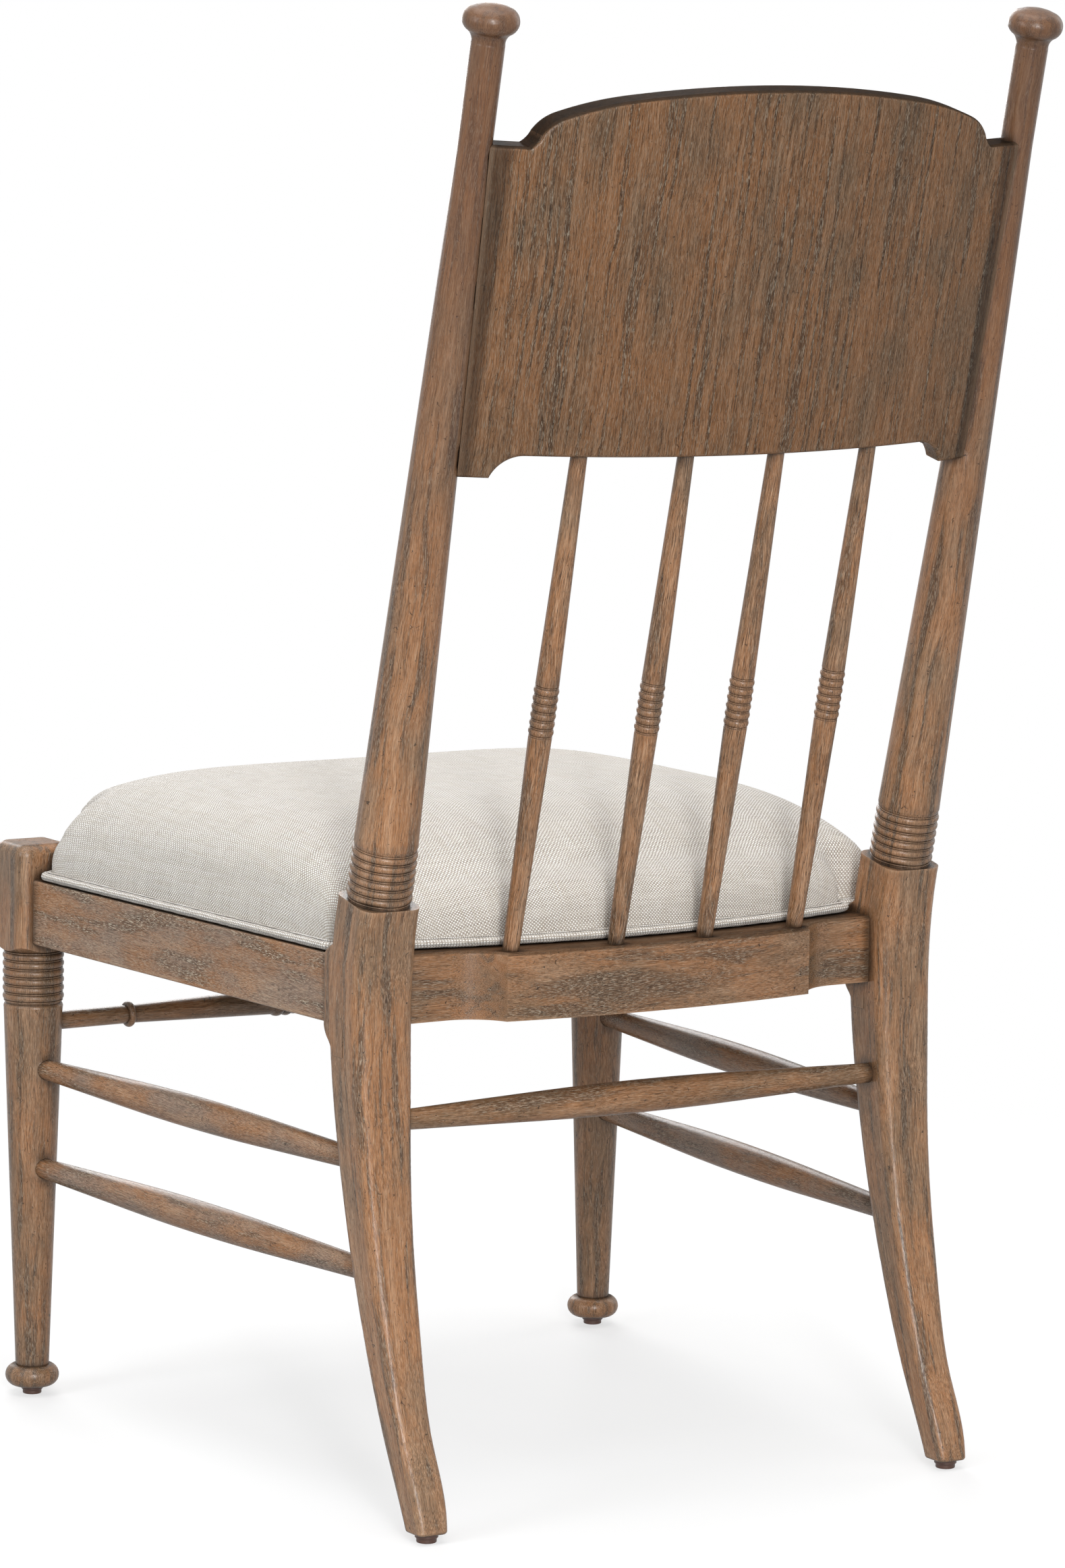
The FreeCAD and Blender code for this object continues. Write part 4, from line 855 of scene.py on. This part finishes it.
def weave(name, thread=1.42, lean=0.0):
    """Off-white and greige basket weave of threads so many millimetres wide, over the stored place on the cloth."""
    s = material(name)
    place = s.add("ShaderNodeAttribute", attribute_type="GEOMETRY", attribute_name="cloth").outputs["Vector"]
    if lean:
        turned = s.add("ShaderNodeVectorRotate", rotation_type="Z_AXIS")
        s.put(turned.inputs["Vector"], place)
        turned.inputs["Angle"].default_value = lean
        place = turned.outputs[0]
    waves = []
    for along, seed in zip(s.split(place), (3, 19)):
        sway = s.math("MULTIPLY_ADD", s.noise(place, (0.05,) * 3, seed), WEAVE_SWAY, -WEAVE_SWAY / 2)
        threads = s.math("DIVIDE", s.math("ADD", along, sway), thread)
        waves.append(s.math("SINE", s.math("MULTIPLY", threads, math.pi)))
    over = s.ramp(s.math("MULTIPLY", *waves), -0.16, 0.42)
    strand = s.math("MULTIPLY", *[s.math("ABSOLUTE", wave) for wave in waves])
    slub_u = s.noise(place, (0.55, 0.030, 0.3), 17, roughness=0.6)
    slub_v = s.noise(place, (0.030, 0.55, 0.3), 29, roughness=0.6)
    white = s.mix(s.ramp(slub_u, 0.38, 0.72), *WEAVE_WHITE)
    greige = s.mix(s.ramp(slub_v, 0.36, 0.66), *WEAVE_GREIGE)
    greige = s.mix(s.ramp(strand, 0.35, 0.02), greige, WEAVE_GAP)
    tint = s.ramp(s.noise(place, (0.012,) * 3, 31), 0.45, 0.70)
    colour = s.cover(s.mix(over, greige, white), tint, 0.10, WEAVE_TINT)
    fuzz = s.noise(place, (2.6,) * 3, 37)
    height = s.math("MULTIPLY_ADD", over, 0.8, s.math("MULTIPLY", strand, 0.6))
    height = s.math("MULTIPLY_ADD", fuzz, 0.3, height)
    return s.surface(colour, 0.88, height, WEAVE_RELIEF, Specular_IOR_Level=0.2, Sheen_Weight=0.15,
                     Sheen_Roughness=0.5)


def tube(name, outline, level, radius, sides=14, flatten=1.0):
    """Closed tube along a level outline, with its cloth place stored as length along and around."""
    count = len(outline)
    points, stored = [], []
    ahead = np.roll(outline, -1, axis=0) - np.roll(outline, 1, axis=0)
    ahead /= np.linalg.norm(ahead, axis=1, keepdims=True)
    lengths = np.r_[0, np.cumsum(np.linalg.norm(np.diff(outline, axis=0), axis=1))]
    for place, ((x, y), (tx, ty)) in enumerate(zip(outline, ahead)):
        out = Vector((ty, -tx, 0))
        thick = radius * (1 + sum(size * math.sin(place * pace + start) for size, pace, start in TUBE_UNEVEN))
        for side in range(sides):
            turn = 2 * math.pi * side / sides
            spot = Vector((x, y, level)) + out * (thick * math.cos(turn) * flatten)
            spot.z += thick * math.sin(turn)
            points.append(spot)
            stored.append((lengths[place] * 1000, turn * radius * 1000, 0.0))
    faces = []
    for place in range(count):
        after = (place + 1) % count
        for side in range(sides):
            other = (side + 1) % sides
            faces.append((place * sides + side, after * sides + side, after * sides + other, place * sides + other))
    piece = add_mesh(name, points, faces)
    store_cloth(piece, stored)
    return piece


seat = cushion()
cloth_place(seat, seat_outline(0.0))
seat.data.materials.append(weave("seat_weave"))
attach(seat, "root")
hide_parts("seat_cover", "seat_foam")

welt_low, welt_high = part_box("seat_welt")
welt = tube("seat_piping", seat_outline(-PIPING_OUTSET, TUBE_STEP), (welt_low.z + welt_high.z) / 2, PIPING_RADIUS)
welt.data.materials.append(weave("piping_weave", 1.6, BIAS))
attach(welt, "root")
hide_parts("seat_welt")

seam = tube("seat_seam", seat_outline(-SEAM_OUTSET, TUBE_STEP), welt_high.z + SEAM_RISE, SEAM_RADIUS, 8, SEAM_FLATTEN)
seam.data.materials.append(weave("seam_weave", 1.25, BIAS))
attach(seam, "root")


# Cloth under the seat

def under_cloth():
    """Black non-woven cloth stretched under the seat, with a slight sag between the rails. Gives the piece, the
    cloth's flat size and its flat area."""
    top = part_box("dust_cover")[1].z
    outline = seat_outline(UNDER_INSET, UNDER_STEP)
    middle = plan_middle(outline)
    shares = np.linspace(1, 0.05, 20)
    points = []
    for share in shares:
        for x, y in middle + (outline - middle) * share:
            sag = UNDER_SAG * (1 - share ** 2) ** 2
            pucker = UNDER_PUCKER * math.sin(x * 95) * math.sin(y * 80 + 1) * (1 - share)
            points.append((x, y, top - sag + pucker))
    points.append((middle[0], middle[1], top - UNDER_SAG))
    piece = add_mesh("under_seat_cloth", points, ring_faces(len(outline), len(shares)))
    thick = piece.modifiers.new("thick", "SOLIDIFY")
    thick.thickness = UNDER_THICKNESS
    thick.offset = -1
    settle(piece)
    x, y = outline[:, 0], outline[:, 1]
    area = abs(np.dot(x, np.roll(y, -1)) - np.dot(y, np.roll(x, -1))) / 2
    return piece, (x.max() - x.min(), y.max() - y.min()), area


def lining():
    """Black non-woven cloth: matted fibres with small point bonds."""
    s = material("lining_cloth_finish")
    place = s.object_place()
    fibres = s.noise(place, (1.6,) * 3, 3, 3.0, 0.7)
    bond = s.ramp(s.cells(place, (0.55,) * 3, randomness=0.25), 0.35, 0.22)
    colour = s.cover(s.mix(fibres, rgb(26, 26, 28), rgb(52, 52, 55)), bond, 0.5, rgb(18, 18, 20))
    return s.surface(colour, 0.85, s.math("SUBTRACT", fibres, bond), 0.0001)


cloth, cloth_size, cloth_area = under_cloth()
cloth.data.materials.append(lining())
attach(cloth, "root")
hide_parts("dust_cover")


# Studio

FLOOR_REACH = 12.0
FLOOR_CELLS = 24
FLOOR_LIT = (0.30, 0.30, 0.30, 1)
FLOOR_SHOWN = (0.42, 0.42, 0.42, 1)
FLOOR_GLOW = 0.575
FLOOR_FADE = (450.0, 1500.0)
SKY = (1, 1, 1, 1)
SKY_LIGHT = 0.21


def either_way(s, lit, shown):
    """One closure for the camera and for rays off or through a glossy surface, and another for all other rays."""
    path = s.add("ShaderNodeLightPath")
    direct = s.math("MAXIMUM", path.outputs["Is Camera Ray"], path.outputs["Is Glossy Ray"])
    return s.blend(s.math("MAXIMUM", direct, path.outputs["Is Transmission Ray"]), lit, shown)


def floor():
    """Plain pale floor that keeps a soft shadow near the chair and shows white away from it."""
    row = FLOOR_CELLS + 1
    spots = [FLOOR_REACH * (2 * i / FLOOR_CELLS - 1) for i in range(row)]
    corners = [row * j + i for j in range(FLOOR_CELLS) for i in range(FLOOR_CELLS)]
    piece = add_mesh("floor", [(x, y, 0.0) for y in spots for x in spots],
                     [(corner, corner + 1, corner + row + 1, corner + row) for corner in corners], False)
    s = material("pale_floor")
    both = s.add("ShaderNodeAddShader")
    s.put(both.inputs[0], s.closure("ShaderNodeBsdfDiffuse", Color=FLOOR_SHOWN))
    s.put(both.inputs[1], s.closure("ShaderNodeEmission", Strength=FLOOR_GLOW))
    away = s.ramp(s.vector("LENGTH", s.object_place()), *FLOOR_FADE)
    shown = s.blend(away, both.outputs[0], s.closure("ShaderNodeEmission", Strength=1.0))
    lit = s.closure("ShaderNodeBsdfDiffuse", Color=FLOOR_LIT)
    piece.data.materials.append(s.show(either_way(s, lit, shown)))
    return piece


floor()

sky = Shader(bpy.data.worlds.new("studio"), "ShaderNodeOutputWorld")
scene.world = sky.show(either_way(sky, sky.closure("ShaderNodeBackground", Color=SKY, Strength=SKY_LIGHT),
                                  sky.closure("ShaderNodeBackground", Color=SKY, Strength=1.0)))


def softbox(name, place, aim, size, power, colour=(1, 1, 1)):
    """Rectangular area lamp that points from a place to an aim, and that the camera doesn't see."""
    lamp = bpy.data.lights.new(name, "AREA")
    lamp.shape = "RECTANGLE"
    lamp.size, lamp.size_y = size
    lamp.energy = power
    lamp.color = colour
    made = bpy.data.objects.new(name, lamp)
    made.location = place
    made.rotation_euler = (Vector(aim) - Vector(place)).to_track_quat("-Z", "Y").to_euler()
    made.visible_camera = False
    scene.collection.objects.link(made)


MIDDLE = (0.0, 0.0, 0.55)
softbox("overhead", (0.3, 0.2, 3.4), (0, 0, 0.4), (3.0, 3.0), 70)
softbox("key_box", (1.9, 4.6, 1.8), MIDDLE, (2.4, 2.6), 108)
softbox("strip_box", (1.9, 4.5, 1.65), MIDDLE, (0.5, 3.0), 105)
softbox("left_box", (3.4, 0.3, 1.7), MIDDLE, (1.2, 2.2), 37, (0.93, 0.97, 1.0))
softbox("right_box", (-3.2, -0.6, 1.7), MIDDLE, (1.2, 2.2), 14)
softbox("front_box", (-1.2, -3.6, 2.0), MIDDLE, (2.4, 2.4), 105)


# Camera

IMAGE = (1579, 2324)
FOCAL_PIXELS = 9115.1
SENSOR = 36.0
CAMERA_PLACE = Vector((2.46, 3.9229, 1.123))
CAMERA_YAW = math.radians(32.11)
CAMERA_PITCH = math.radians(-7.58)
CAMERA_ROLL = math.radians(0.79)

ahead = Vector((-math.sin(CAMERA_YAW) * math.cos(CAMERA_PITCH), -math.cos(CAMERA_YAW) * math.cos(CAMERA_PITCH),
                math.sin(CAMERA_PITCH)))
level = ahead.cross(Vector((0, 0, 1))).normalized()
upright = level.cross(ahead)
right = level * math.cos(CAMERA_ROLL) + upright * math.sin(CAMERA_ROLL)
up = upright * math.cos(CAMERA_ROLL) - level * math.sin(CAMERA_ROLL)
camera_data = bpy.data.cameras.new("camera")
camera_data.sensor_fit = "AUTO"
camera_data.sensor_width = SENSOR
camera_data.lens = FOCAL_PIXELS / IMAGE[1] * SENSOR
camera = bpy.data.objects.new("camera", camera_data)
camera.matrix_world = Matrix.Translation(CAMERA_PLACE) @ Matrix((right, up, -ahead)).transposed().to_4x4()
scene.collection.objects.link(camera)
scene.camera = camera
scene.view_settings.view_transform = "Standard"
